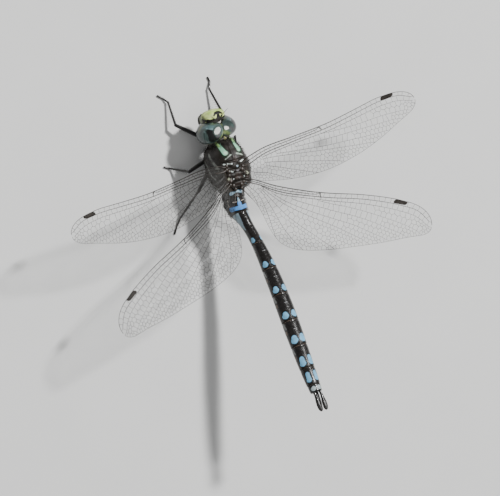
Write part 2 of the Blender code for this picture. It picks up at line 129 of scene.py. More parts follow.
WING_EDGES = {
    "forewing": (
        ((0.0, 0.03), (0.06, 0.08), (0.16, 0.11), (0.30, 0.06), (0.50, 0.0),
         (0.66, 0.01), (0.80, 0.03), (0.86, 0.01)),
        ((0.0, -0.20), (0.05, -0.48), (0.12, -0.62), (0.25, -0.80), (0.42, -0.92),
         (0.60, -0.90), (0.74, -0.80), (0.86, -0.66))),
    "hindwing": (
        ((0.0, 0.03), (0.08, 0.0), (0.18, -0.04), (0.34, -0.05), (0.46, -0.03),
         (0.62, 0.02), (0.78, 0.03), (0.86, 0.01)),
        ((0.0, -0.16), (0.04, -0.26), (0.08, -0.36), (0.11, -0.47), (0.15, -0.66),
         (0.19, -0.82), (0.235, -0.94), (0.32, -1.0), (0.47, -0.94), (0.64, -0.80),
         (0.76, -0.69), (0.86, -0.58)))}

# Long veins: name and its places as (part of length, part of chord).
VEINS = {
    "forewing": (
        ("subcosta", ((0, .18), (.1, .10), (.3, .055), (.44, .045), (.465, 0))),
        ("radius", ((0, .36), (.1, .19), (.3, .115), (.46, .10), (.7, .10), (.86, .13),
                    (.93, .16), (.985, .30))),
        ("sector_1", ((.12, .24), (.3, .17), (.46, .17), (.7, .21), (.86, .29), (.94, .40),
                      (.985, .6))),
        ("sector_2", ((.46, .17), (.6, .30), (.8, .52), (.93, .80), (.96, 1))),
        ("between", ((.30, .25), (.5, .35), (.7, .55), (.85, .82), (.90, 1))),
        ("sector_3", ((.2, .28), (.4, .42), (.6, .62), (.76, .88), (.81, 1))),
        ("media", ((.12, .30), (.3, .42), (.5, .62), (.66, .88), (.71, 1))),
        ("media_rear", ((.12, .42), (.3, .62), (.45, .84), (.52, 1))),
        ("cubitus", ((.12, .52), (.22, .72), (.32, .92), (.36, 1))),
        ("anal", ((0, .62), (.10, .72), (.18, .92), (.22, 1)))),
    "hindwing": (
        ("subcosta", ((0, .14), (.1, .075), (.3, .04), (.38, .035), (.405, 0))),
        ("radius", ((0, .28), (.1, .14), (.3, .08), (.42, .075), (.7, .095), (.86, .14),
                    (.93, .18), (.985, .32))),
        ("sector_1", ((.1, .17), (.3, .12), (.42, .125), (.7, .2), (.86, .3), (.94, .42),
                      (.985, .62))),
        ("sector_2", ((.40, .14), (.6, .28), (.8, .52), (.92, .8), (.955, 1))),
        ("between", ((.26, .17), (.45, .28), (.68, .52), (.83, .82), (.88, 1))),
        ("sector_3", ((.16, .2), (.35, .32), (.58, .56), (.74, .86), (.79, 1))),
        ("media", ((.1, .22), (.28, .34), (.48, .56), (.64, .86), (.69, 1))),
        ("media_rear", ((.09, .28), (.22, .44), (.38, .70), (.48, .92), (.51, 1))),
        ("cubitus", ((.08, .34), (.16, .52), (.26, .78), (.33, .95), (.35, 1))),
        ("anal_1", ((0, .45), (.08, .55), (.14, .75), (.19, .95), (.2, 1))),
        ("anal_2", ((0, .6), (.05, .72), (.085, .92), (.095, 1))))}
VEIN_RADII = {"costa": 0.1, "subcosta": 0.07, "radius": 0.09, "sector_1": 0.06}
STIGMA = {"forewing": (0.835, 0.907, 0.0, 0.125), "hindwing": (0.795, 0.865, 0.0, 0.105)}
NODUS = {"forewing": 0.465, "hindwing": 0.405}

low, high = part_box("thorax")
ORIGIN = np.array(((low.x + high.x) / 2 - THORAX_SHIFT * MM, low.y - THORAX_FRONT * MM, 0.0))


# ---- settings ----
def tone(name, description, default):
    """A colour that a user may change."""
    return FloatVectorProperty(name=name, description=description, subtype="COLOR", size=3,
                               min=0, max=1, default=default)


class DarnerColours(bpy.types.PropertyGroup):
    """Main colours of the insect"""

    black: tone("Plate black", "Ground colour of the hard plates", (0.012, 0.0108, 0.0102))
    brown: tone("Chest brown", "Ground colour of the chest", (0.013, 0.0105, 0.008))
    blue: tone("Spot blue", "Blue of the abdomen's spots", (0.16, 0.40, 0.60))
    pale_blue: tone("Pale blue", "Blue grey of the abdomen's sides", (0.23, 0.31, 0.36))
    green: tone("Face green", "Yellow green of the face", (0.50, 0.58, 0.22))
    stripe: tone("Stripe green", "Pale green of the chest stripes", (0.24, 0.52, 0.35))
    eye: tone("Eye", "Slate teal of the eyes", (0.020, 0.031, 0.031))
    vein: tone("Veins", "Dark brown of the wing veins", (0.016, 0.013, 0.011))


class DarnerWings(bpy.types.PropertyGroup):
    """Sizes of the wing net"""

    cell: FloatProperty(
        name="Cell", description="Width of one wing cell", unit="LENGTH",
        default=0.98 * MM, min=0.6 * MM, max=2 * MM)
    cross_radius: FloatProperty(
        name="Cross vein", description="Radius of a cross vein", unit="LENGTH",
        default=0.03 * MM, min=0.01 * MM, max=0.06 * MM)
    cover: FloatProperty(
        name="Membrane cover", description="How much the clear membrane hides",
        subtype="FACTOR", default=0.045, min=0.0, max=1.0)
    seed: IntProperty(
        name="Seed", description="Seed of the net's small unevenness", default=4, min=0)


class DarnerCoat(bpy.types.PropertyGroup):
    """Sizes of the fine down"""

    length: FloatProperty(
        name="Down length", description="Length of the chest's down", unit="LENGTH",
        default=0.75 * MM, min=0.1 * MM, max=2 * MM)
    count: IntProperty(
        name="Down count", description="How many hairs the chest carries",
        default=5200, min=0, max=12000)
    seed: IntProperty(name="Seed", description="Seed of the down's places", default=11, min=0)


class DarnerStage(bpy.types.PropertyGroup):
    """Floor, lights and camera"""

    lens: FloatProperty(
        name="Lens", description="Focal length of the camera", subtype="DISTANCE_CAMERA",
        default=342.86, min=20, max=500)
    floor: tone("Floor", "Colour of the plain floor", (0.68, 0.68, 0.67))
    key: FloatProperty(
        name="Key light", description="Strength of the soft key light", subtype="POWER",
        default=40.0, min=0, max=200)


# ---- shape helpers ----
def smooth_read(table, place):
    """Read a row of values from a table at a place, along smooth curves."""
    last = len(table) - 1
    for index in range(last):
        if place <= table[index + 1][0] or index == last - 1:
            break
    before, after = table[max(index - 1, 0)], table[min(index + 2, last)]
    start, end = table[index], table[index + 1]
    span = end[0] - start[0]
    t = min(max((place - start[0]) / span, 0.0), 1.0)
    values = []
    for column in range(1, len(start)):
        slope_in = (end[column] - before[column]) / max(end[0] - before[0], 1e-6) * span
        slope_out = (after[column] - start[column]) / max(after[0] - start[0], 1e-6) * span
        a, b = start[column], end[column]
        values.append(a + slope_in * t + (3 * (b - a) - 2 * slope_in - slope_out) * t ** 2
                      + (2 * (a - b) + slope_in + slope_out) * t ** 3)
    return values


def hump(value, centre, width):
    """A smooth bump of height one."""
    return np.exp(-((value - centre) / width) ** 2)


def step(value, start, end):
    """A smooth step from zero at start to one at end."""
    t = np.clip((value - start) / (end - start), 0, 1)
    return t * t * (3 - 2 * t)


def turns_of(sides):
    """Turns round a section, from its top."""
    return np.linspace(0, 2 * math.pi, sides, endpoint=False)


def signed_turns(sides):
    """The same turns from minus to plus half a round."""
    turns = turns_of(sides)
    return np.where(turns > math.pi, turns - 2 * math.pi, turns)


def oval(turns, half_width, half_height, power):
    """Points round a section as (across, up); a turn of zero is the top."""
    across, up = np.sin(turns), np.cos(turns)
    return (half_width * np.sign(across) * np.abs(across) ** (2 / power),
            half_height * np.sign(up) * np.abs(up) ** (2 / power))


def cross_ring(centre, across, height, up):
    """A ring round a centre, across it and up it."""
    return centre + np.outer(across, (1, 0, 0)) + np.outer(height, up)


def upright_rings(table, places, sides, scales, power):
    """Upright rings of a body from rows of (y, underside, top, half width)."""
    rings = []
    for y, scale in zip(places, np.broadcast_to(scales, len(places))):
        under, top, half = smooth_read(table, y)
        across, height = oval(turns_of(sides), half * scale, (top - under) / 2 * scale, power)
        rings.append(np.stack([across, np.full(sides, y), (top + under) / 2 + height], 1))
    return np.array(rings)


def unit(vectors):
    """Vectors scaled to length one."""
    vectors = np.asarray(vectors, float)
    return vectors / np.maximum(np.linalg.norm(vectors, axis=-1, keepdims=True), 1e-12)


def loft(rings):
    """Points and faces of a closed skin over a run of rings."""
    rings = np.asarray(rings, float)
    count, sides = rings.shape[:2]
    points = np.vstack([rings.reshape(-1, 3), rings[0].mean(0), rings[-1].mean(0)])
    near = np.arange(sides)
    far = (near + 1) % sides
    faces = []
    for row in range(count - 1):
        a, b = row * sides, (row + 1) * sides
        faces += np.stack([a + near, a + far, b + far, b + near], 1).tolist()
    first, last, tail = count * sides, count * sides + 1, (count - 1) * sides
    faces += np.stack([np.full(sides, first), far, near], 1).tolist()
    faces += np.stack([np.full(sides, last), tail + near, tail + far], 1).tolist()
    return points, faces


def tube(path, radii, sides, power=2.0):
    """A limb along a path with round ends."""
    path, radii = np.asarray(path, float), np.asarray(radii, float)[:, None]
    ahead = unit(np.gradient(path, axis=0))
    ends = []
    for end, sign in ((0, -1), (-1, 1)):
        ends.append(([path[end] + ahead[end] * radii[end] * sign * out for out, _ in TUBE_CAP],
                     [radii[end] * size for _, size in TUBE_CAP], [ahead[end]] * 3))
    path, radii, ahead = (np.vstack([first[::-1], middle, last]) for first, middle, last in zip(
        ends[0], (path, radii, ahead), ends[1]))
    side = unit(np.cross(ahead, (0, 0, 1)))
    top = np.cross(side, ahead)
    across, height = oval(turns_of(sides), 1.0, 1.0, power)
    return loft(path[:, None] + side[:, None] * (across * radii)[..., None]
                + top[:, None] * (height * radii)[..., None])


def ball(rows, sides, axis="z"):
    """Rings of a unit ball, from one pole to the other."""
    falls = np.linspace(0.02, math.pi - 0.02, rows)[:, None]
    turns = turns_of(sides)
    a, b, c = np.sin(falls) * np.cos(turns), np.sin(falls) * np.sin(turns), np.cos(falls)
    order = (c, a, b) if axis == "x" else (a, b, c)
    return np.stack(np.broadcast_arrays(*order), -1)


def lobe(centre, radii, power, rows, sides):
    """Rings of a rounded lump; a higher power makes it boxier."""
    shape = ball(rows, sides)
    return np.sign(shape) * np.abs(shape) ** (2 / power) * np.array(radii) + np.array(centre)


class Shell:
    """Points in millimetres, faces and pattern places of one piece."""

    def __init__(self):
        self.points, self.faces, self.marks, self.size = [], [], [], 0

    def add(self, points, faces, marks=None):
        """Add a closed skin; its faces are turned outward."""
        points = np.asarray(points, float).reshape(-1, 3)
        fans = np.array([(f[0], b, c) for f in faces for b, c in zip(f[1:], f[2:])])
        a, b, c = (points[fans[:, k]] - points[0] for k in range(3))
        if np.einsum("ij,ij->i", a, np.cross(b, c)).sum() < 0:
            faces = [face[::-1] for face in faces]
        self.points.append(points)
        self.marks.append(points if marks is None else marks)
        self.faces += [[corner + self.size for corner in face] for face in faces]
        self.size += len(points)

    def add_rings(self, rings, marks=None):
        """Add a skin over rings, with pattern places given ring by ring."""
        if marks is not None:
            marks = np.vstack([marks.reshape(-1, 3), marks[0].mean(0), marks[-1].mean(0)])
        self.add(*loft(rings), marks)


def new_object(name, data):
    """An object in the scene's collection."""
    item = bpy.data.objects.new(name, data)
    bpy.context.scene.collection.objects.link(item)
    return item


def make_piece(name, shell, material, stands_for=()):
    """Turn a shell into an object in metres that rides on the body."""
    mesh = bpy.data.meshes.new(name)
    mesh.from_pydata((np.vstack(shell.points) * MM + ORIGIN).tolist(), [], shell.faces)
    marks = mesh.attributes.new("marks", "FLOAT_VECTOR", "POINT")
    marks.data.foreach_set("vector", np.vstack(shell.marks).astype(np.float32).ravel())
    mesh.materials.append(material)
    mesh.shade_smooth()
    mesh.update()
    return settle(new_object(name, mesh), stands_for)


def skin_piece(name, skins, material, stands_for=()):
    """A piece from runs of rings, each with its pattern places or None."""
    shell = Shell()
    for rings, marks in skins:
        shell.add_rings(rings, marks)
    return make_piece(name, shell, material, stands_for)


def settle(piece, stands_for=()):
    """Give a finished piece its body and hide the solids it stands for."""
    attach(piece, "root")
    if stands_for:
        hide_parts(*stands_for)
    return piece


_turn, _lift, _lean = (np.array(Matrix.Rotation(angle, 3, axis)) for angle, axis in (
    (HEAD_TURN, "Z"), (-HEAD_LIFT, "X"), (-HEAD_LEAN, "Y")))
HEAD_AXES = _turn @ _lift @ _lean


def in_head(points):
    """Places in the head's own frame, turned and moved to the insect's frame."""
    return np.asarray(points, float) @ HEAD_AXES.T + HEAD_CENTRE


def headed(shape):
    """A lump's rings in the insect's frame, and in the head's own for its pattern."""
    return in_head(shape), shape


_rise_places = np.linspace(0, 47, 941)
_rises = np.radians([smooth_read(ABDOMEN_RISE, place)[0] for place in _rise_places])
_steps = np.diff(_rise_places)
_middle = (_rises[1:] + _rises[:-1]) / 2
_line_y = ABDOMEN_START[1] + np.concatenate([[0], np.cumsum(np.cos(_middle) * _steps)])
_line_z = ABDOMEN_START[2] + np.concatenate([[0], np.cumsum(np.sin(_middle) * _steps)])


def abdomen_place(distance):
    """Point, forward and upward direction on the abdomen's centre line."""
    rise = np.interp(distance, _rise_places, _rises)
    point = np.array((smooth_read(ABDOMEN_BEND, distance)[0],
                      np.interp(distance, _rise_places, _line_y),
                      np.interp(distance, _rise_places, _line_z)))
    return (point, np.array((0, math.cos(rise), math.sin(rise))),
            np.array((0, -math.sin(rise), math.cos(rise))))


def wing_frame(pair, side):
    """Hinge, outward, rearward and upward directions of a wing."""
    sign = 1 if side == "left" else -1
    sweep, rise, pitch = np.radians(WING_SET[f"{pair}_{side}"])
    out = np.array((sign * math.cos(sweep) * math.cos(rise),
                    math.sin(sweep) * math.cos(rise), math.sin(rise)))
    level = np.array((-sign * math.sin(sweep), math.cos(sweep), 0))
    normal = np.cross(level, out) * -sign
    rear = level * math.cos(pitch) - normal * math.sin(pitch)
    normal = unit(np.cross(rear, out) * -sign)
    return np.array(WING_HINGE[pair]) * (sign, 1, 1), out, rear, normal


def edge_offset(table, u):
    """How far an edge lies before the hinge line, with an elliptical tip."""
    if u <= TIP_START:
        return smooth_read(table, u)[0]
    slope = (table[-1][1] - table[-2][1]) / (table[-1][0] - table[-2][0])
    reach = (u - TIP_START) / (1 - TIP_START)
    straight = table[-1][1] + slope * (u - TIP_START) * (1 - reach)
    return straight + (TIP_DROP - straight) * (1 - math.sqrt(max(1 - reach ** 2, 0)))


# ---- node helpers ----
class Wiring:
    """Adds nodes to a tree and links them."""

    def __init__(self, tree):
        self.tree = tree

    def add(self, kind, inputs=None, **settings):
        """A node with its settings and its inputs, linked or set."""
        node = self.tree.nodes.new(kind)
        for key, value in settings.items():
            setattr(node, key, value)
        self.feed(node, inputs or {})
        return node

    def feed(self, node, inputs):
        """Link or set some inputs of a node."""
        for key, value in inputs.items():
            if isinstance(value, bpy.types.NodeSocket):
                self.tree.links.new(value, node.inputs[key])
            else:
                node.inputs[key].default_value = value

    def math(self, operation, first, second=0.0, clamp=False):
        """One math node's value."""
        return self.add("ShaderNodeMath", {0: first, 1: second}, operation=operation,
                        use_clamp=clamp).outputs[0]

    def vector(self, operation, first, second=(0, 0, 0), output=0):
        """One vector math node's result."""
        return self.add("ShaderNodeVectorMath", {0: first, 1: second},
                        operation=operation).outputs[output]

    def mix(self, factor, first, second):
        """Two colours mixed by a mask."""
        return self.add("ShaderNodeMix", {0: factor, 6: first, 7: second},
                        data_type="RGBA").outputs[2]

    def ramp(self, value, start, end, low=0.0, high=1.0):
        """A value mapped smoothly from one range to another."""
        return self.add("ShaderNodeMapRange",
                        {0: value, 1: start, 2: end, 3: low, 4: high},
                        interpolation_type="SMOOTHSTEP").outputs[0]

    def noise(self, place, scale, detail):
        """Cloudy noise from zero to one."""
        return self.add("ShaderNodeTexNoise", {
            "Vector": place, "Scale": scale, "Detail": detail}).outputs[0]

    def bump(self, height, strength, distance):
        """A normal raised by a height, over a distance in millimetres."""
        return self.add("ShaderNodeBump", {
            "Height": height, "Strength": strength, "Distance": distance * MM}).outputs[0]

    def highest(self, first, second):
        """The higher of two masks, the first of which may be None."""
        return second if first is None else self.math("MAXIMUM", first, second)

    def marks(self):
        """Where a point lies in its pattern, and the parts of that place."""
        place = self.add("ShaderNodeAttribute", attribute_name="marks").outputs["Vector"]
        return place, self.add("ShaderNodeSeparateXYZ", {0: place}).outputs

    def folded(self, parts):
        """A place with the right half laid over the left."""
        return self.add("ShaderNodeCombineXYZ", {
            0: self.math("ABSOLUTE", parts[0]), 1: parts[1], 2: parts[2]}).outputs[0]

    def group(self, tree, inputs):
        """A shared group's outputs."""
        return self.add("ShaderNodeGroup", inputs, node_tree=tree).outputs

    def stroke(self, place, run, uneven):
        """Mask of one stroke, given as its start, end, their widths and softness."""
        names = ("Start", "End", "Start width", "End width", "Softness")
        return self.group(soft_stroke_group(), {
            "Place": place, "Unevenness": uneven, **dict(zip(names, run))})[0]


def add_sockets(tree, in_out, sockets):
    """Named sockets of a tree: name, kind and, for some, the value to start with."""
    for name, kind, *value in sockets:
        item = tree.interface.new_socket(name, in_out=in_out, socket_type="NodeSocket" + kind)
        if value:
            item.default_value = value[0]


def new_group(name, inputs, outputs):
    """An empty shader group with named sockets, or the one made before."""
    if name in bpy.data.node_groups:
        return bpy.data.node_groups[name], None
    tree = bpy.data.node_groups.new(name, "ShaderNodeTree")
    add_sockets(tree, "INPUT", inputs)
    add_sockets(tree, "OUTPUT", outputs)
    return tree, Wiring(tree)


def soft_stroke_group():
    """Group: a soft-edged stroke from one place to another, or a spot."""
    tree, wire = new_group("Soft stroke", (
        ("Place", "Vector"), ("Start", "Vector"), ("End", "Vector"),
        ("Start width", "Float", 0.5), ("End width", "Float", 0.5), ("Softness", "Float", 0.1),
        ("Unevenness", "Float")), (("Mask", "Float"),))
    if wire is None:
        return tree
    source = wire.add("NodeGroupInput").outputs
    run = wire.vector("SUBTRACT", source["End"], source["Start"])
    reach = wire.vector("SUBTRACT", source["Place"], source["Start"])
    square = wire.math("MAXIMUM", wire.vector("DOT_PRODUCT", run, run, output=1), 1e-6)
    part = wire.math("DIVIDE", wire.vector("DOT_PRODUCT", reach, run, output=1), square,
                     clamp=True)
    scaled = wire.add("ShaderNodeVectorMath", {0: run, 3: part}, operation="SCALE").outputs[0]
    away = wire.vector("LENGTH", wire.vector("SUBTRACT", reach, scaled), output=1)
    away = wire.math("ADD", away, source["Unevenness"])
    width = wire.add("ShaderNodeMix", {0: part, 2: source["Start width"],
                                       3: source["End width"]}, data_type="FLOAT").outputs[0]
    inner = wire.math("SUBTRACT", width, source["Softness"])
    outer = wire.math("ADD", width, source["Softness"])
    wire.add("NodeGroupOutput", {"Mask": wire.ramp(away, outer, inner)})
    return tree


def shell_grain_group():
    """Group: fine pits and cloudy tone of a hard plate, in millimetres."""
    tree, wire = new_group("Shell grain", (
        ("Place", "Vector"), ("Pits per mm", "Float", 9.0), ("Cloud", "Float", 1.2),
        ("Depth", "Float", 1.0)), (("Height", "Float"), ("Tone", "Float"), ("Edge", "Float")))
    if wire is None:
        return tree
    source = wire.add("NodeGroupInput").outputs
    pits = wire.add("ShaderNodeTexVoronoi", {
        "Vector": source["Place"], "Scale": source["Pits per mm"]}).outputs["Distance"]
    cloud = wire.noise(source["Place"], source["Cloud"], 4.0)
    height = wire.math("MULTIPLY", wire.ramp(pits, 0.0, 0.6), source["Depth"])
    wire.add("NodeGroupOutput", {
        "Height": wire.math("ADD", height, wire.math("MULTIPLY", cloud, 0.6)),
        "Tone": wire.ramp(cloud, 0.3, 0.7), "Edge": wire.math("SUBTRACT", cloud, 0.5)})
    return tree


def new_material(name, roughness, **fixed):
    """A material with its shader's fixed values, its wiring and its shader."""
    material = bpy.data.materials.new(name)
    material.use_nodes = True
    wire = Wiring(material.node_tree)
    shader = material.node_tree.nodes["Principled BSDF"]
    wire.feed(shader, {"Roughness": roughness,
                       **{key.replace("_", " "): value for key, value in fixed.items()}})
    return material, wire, shader


def shade(colour, factor=1.0):
    """A colour with its alpha, made lighter or darker."""
    return (*(min(channel * factor, 1.0) for channel in colour), 1.0)


def plate_material(name, ground, strokes=(), *, roughness, mark_roughness=0.45, pits=9.0,
                   bump=0.35, cloud=1.2, wobble=0.18, **fixed):
    """Hard plate: ground colour, painted strokes, fine grain and gloss."""
    material, wire, shader = new_material(name, roughness, **fixed)
    place, parts = wire.marks()
    grain = wire.group(shell_grain_group(), {
        "Place": place, "Pits per mm": pits, "Cloud": cloud})
    place = wire.folded(parts)
    uneven = wire.math("MULTIPLY", grain["Edge"], wobble * 2)
    colour = wire.mix(grain["Tone"], shade(ground, 0.7), shade(ground, 1.35))
    total = None
    for paint, runs in strokes:
        mask = None
        for run in runs:
            mask = wire.highest(mask, wire.stroke(place, run, uneven))
        toned = wire.mix(grain["Tone"], shade(paint, 0.86), shade(paint, 1.12))
        colour = wire.mix(mask, colour, toned)
        total = wire.highest(total, mask)
    if strokes:
        wire.feed(shader, {"Roughness": wire.ramp(total, 0.0, 1.0, roughness, mark_roughness)})
    wire.feed(shader, {"Base Color": colour, "Normal": wire.bump(grain["Height"], bump, 0.02)})
    return material


def lit_group(name):
    """The collection that says which pieces a lamp lights or spares."""
    return bpy.data.collections.get(name) or bpy.data.collections.new(name)


# ---- finishes ----
def face_finish():
    """Yellow-green face with a black mushroom mark and a dark rear border."""
    tones = bpy.context.scene.darner_colours
    black = shade(tones.black)[:3]
    greyed, olive = (0.12, 0.13, 0.07), (0.22, 0.24, 0.07)
    return plate_material(
        "face_green", tones.green, (
            ((0.36, 0.52, 0.10), (((0.3, -3.75, 0.9), (1.5, -3.6, 0.7), 0.35, 0.5, 0.4),)),
            (greyed, (((0.0, -3.3, -1.6), (2.2, -3.0, -1.4), 0.9, 0.9, 0.4),
                      ((2.6, -2.9, 0.0), (2.7, -2.6, 0.6), 0.42, 0.3, 0.3))),
            (olive, (((1.85, -3.45, 0.2), (2.1, -3.25, 0.55), 0.16, 0.2, 0.2),)),
            (black, (
                ((0.0, -3.52, 1.34), (0.50, -3.47, 1.40), 0.36, 0.34, 0.05),
                ((0.50, -3.47, 1.40), (0.96, -3.20, 1.50), 0.34, 0.24, 0.05),
                ((0.0, -3.4, 1.5), (0.0, -2.7, 1.72), 0.32, 0.46, 0.05),
                ((0.0, -2.7, 1.72), (0.0, -2.15, 1.8), 0.46, 0.95, 0.06),
                ((0.6, -2.05, 1.75), (2.3, -2.38, 1.15), 0.30, 0.30, 0.06),
                ((0.4, -1.72, 1.5), (2.3, -1.8, 1.0), 0.42, 0.42, 0.06),
                ((2.3, -2.38, 1.15), (2.7, -2.25, -0.2), 0.30, 0.40, 0.08))),),
        roughness=0.5, mark_roughness=0.45, pits=7.0, cloud=0.8, wobble=0.08,
        Specular_IOR_Level=0.2)


EYE_STROKES = (             # colour, start, end, their widths, softness
    ((0.10, 0.105, 0.065), (4.3, -0.9, -0.5), (2.9, -2.1, -0.3), 0.35, 0.45, 0.45),
    ((0.035, 0.052, 0.03), (1.9, -1.85, 1.7), (1.0, -1.75, 1.9), 0.25, 0.3, 0.35),
    ((0.035, 0.062, 0.070), (3.4, -1.4, 0.4), (2.2, -1.4, 2.1), 0.28, 0.38, 0.35),
    ((0.003, 0.0035, 0.0035), (3.15, -0.55, 2.15), (3.1, 0.85, 2.6), 0.70, 0.86, 0.22),
    ((0.003, 0.0035, 0.0035), (3.0, 0.9, 2.5), (2.1, 1.1, 2.9), 0.6, 0.42, 0.25),
    # Two light blue streaks on the eye's upper side: painted reflection.
    ((0.09, 0.14, 0.16), (3.15, -1.30, 1.35), (2.45, -0.98, 2.3), 0.05, 0.12, 0.12),
    ((0.07, 0.11, 0.12), (3.75, -0.75, 1.1), (3.55, -0.2, 1.9), 0.03, 0.09, 0.12),
    ((0.050, 0.070, 0.028), (0.35, 0.6, 3.0), (1.0, 1.7, 2.75), 0.34, 0.45, 0.35),
    ((0.085, 0.11, 0.05), (0.0, -1.5, 2.2), (0.0, 1.8, 2.8), 0.16, 0.30, 0.12),
    ((0.030, 0.030, 0.033), (1.9, 0.6, 3.1), (1.5, 0.2, 3.2), 0.35, 0.35, 0.5),
    ((0.005, 0.006, 0.005), (1.15, -1.85, 1.75), (0.15, -1.38, 2.22), 0.26, 0.22, 0.12))


def eye_finish():
    """Dark slate eye with a black patch, olive along the seam, a pale rear rim and two light blue
    streaks of painted reflection on its upper side.
    """
    tones = bpy.context.scene.darner_colours
    material, wire, shader = new_material("eye_teal", 0.4, Specular_IOR_Level=0.05,
                                          Coat_Weight=0.9, Coat_Roughness=0.05, Coat_IOR=1.55)
    place, parts = wire.marks()
    folded = wire.folded(parts)
    uneven = wire.math("MULTIPLY", wire.math("SUBTRACT", wire.noise(folded, 0.9, 3.0), 0.5), 0.6)
    streak = wire.noise(wire.vector("MULTIPLY", folded, (0.6, 0.5, 3.0)), 1.1, 2.0)
    colour = wire.mix(wire.ramp(streak, 0.35, 0.65), shade(tones.eye, 0.7),
                      shade(tones.eye, 1.35))
    for paint, *run in EYE_STROKES:
        colour = wire.mix(wire.stroke(folded, run, uneven), colour, shade(paint))
    rim = wire.ramp(wire.math("ADD", parts[1], wire.math("MULTIPLY", uneven, 0.2)), 1.98, 2.12)
    facets = wire.add("ShaderNodeTexVoronoi", {"Vector": place, "Scale": 22.0})
    wire.feed(shader, {"Base Color": wire.mix(rim, colour, shade((0.17, 0.175, 0.14))),
                       "Normal": wire.bump(facets.outputs["Distance"], 0.2, 0.01)})
    return material


def chest_finish():
    """Blackish chest with green shoulder stripes, grey flank bands and pale back plates."""
    tones = bpy.context.scene.darner_colours
    grey, white = (0.15, 0.16, 0.145), (0.56, 0.63, 0.60)
    moss = (0.012, 0.022, 0.012)
    return plate_material(
        "chest_brown", tones.brown, (
            ((0.034, 0.024, 0.020), (
                ((0.0, -2.35, 13.5), (0.0, -1.9, 13.6), 0.35, 0.55, 0.25),
                ((0.3, 1.2, 13.2), (0.55, 1.9, 13.0), 0.25, 0.35, 0.2),
                ((2.2, 2.3, 12.6), (2.2, 2.9, 12.3), 0.35, 0.35, 0.2),
                ((0.0, 3.2, 12.7), (0.9, 3.3, 12.6), 0.25, 0.3, 0.2))),
            (moss, (((2.0, -5.8, 10.6), (2.0, -5.4, 11.6), 0.5, 0.64, 0.15),
                    ((2.0, -5.4, 11.6), (1.7, -3.5, 13.0), 0.64, 0.84, 0.15))),
            (tones.stripe, (((2.03, -5.7, 11.2), (1.70, -3.75, 12.95), 0.38, 0.54, 0.07),)),
            ((0.31, 0.47, 0.13), (
                ((2.0, -6.3, 10.4), (2.05, -5.35, 11.6), 0.32, 0.34, 0.22),)),
            ((0.46, 0.68, 0.50), (
                ((1.62, -3.75, 12.95), (1.5, -3.65, 13.0), 0.32, 0.34, 0.25),)),
            ((0.33, 0.40, 0.33), (
                ((0.66, -3.04, 13.32), (2.02, -2.38, 13.02), 0.14, 0.20, 0.05),)),
            (grey, (((3.9, -5.0, 8.6), (4.25, -2.7, 10.5), 0.30, 0.36, 0.12),
                    ((4.25, -2.7, 10.5), (3.6, -0.7, 12.1), 0.36, 0.30, 0.12),
                    ((4.2, -2.6, 7.6), (4.5, 0.2, 9.6), 0.22, 0.30, 0.12),
                    ((4.5, 0.2, 9.6), (4.0, 1.6, 11.0), 0.30, 0.24, 0.12),
                    ((4.0, 1.6, 7.4), (3.9, 3.4, 9.4), 0.4, 0.4, 0.15))),
            (white, (((1.05, -1.2, 13.50), (1.8, -1.35, 13.22), 0.17, 0.23, 0.05),
                     ((2.2, -1.38, 13.2), (2.62, -1.5, 12.9), 0.07, 0.12, 0.05),
                     ((1.9, 0.05, 13.0), (2.1, 0.12, 12.9), 0.11, 0.09, 0.05),
                     ((1.2, 0.45, 13.35), (1.5, 0.3, 13.3), 0.10, 0.13, 0.05),
                     ((1.26, 1.98, 12.9), (1.3, 2.05, 12.85), 0.12, 0.1, 0.05))),
            ((0.36, 0.47, 0.54), (((0.0, -0.38, 13.64), (0.14, -0.55, 13.6), 0.16, 0.12, 0.06),
                                  ((1.3, 3.5, 12.3), (1.55, 3.45, 12.2), 0.16, 0.12, 0.08))),
            ((0.22, 0.21, 0.22), (((0.0, 0.5, 13.3), (0.22, 0.42, 13.3), 0.14, 0.10, 0.06),
                                  ((0.0, 2.12, 13.1), (0.12, 2.05, 13.1), 0.10, 0.08, 0.05))),
            ((0.40, 0.42, 0.31), (((2.0, 1.05, 12.9), (2.25, 1.75, 12.7), 0.16, 0.26, 0.08),
                                  ((2.3, 1.1, 12.7), (1.9, 1.75, 12.85), 0.09, 0.09, 0.05))),
            ((0.24, 0.21, 0.20), (((1.72, 1.3, 13.05), (1.8, 2.35, 12.7), 0.10, 0.14, 0.07),))),
        roughness=0.5, mark_roughness=0.42, pits=6.0, bump=0.5, wobble=0.16,
        Specular_IOR_Level=0.3)


SPOTS = {                   # ring: arc and place of its blue spot, half width, half length
    3: (1.15, 6.62, 0.50, 0.52), 4: (1.00, 5.12, 0.66, 0.60), 5: (1.05, 4.86, 0.70, 0.64),
    6: (1.04, 4.78, 0.76, 0.68), 7: (0.98, 4.10, 0.84, 0.80), 8: (0.98, 3.42, 0.72, 0.98),
    9: (0.92, 1.93, 0.60, 1.02), 10: (0.68, 0.78, 0.58, 0.42)}


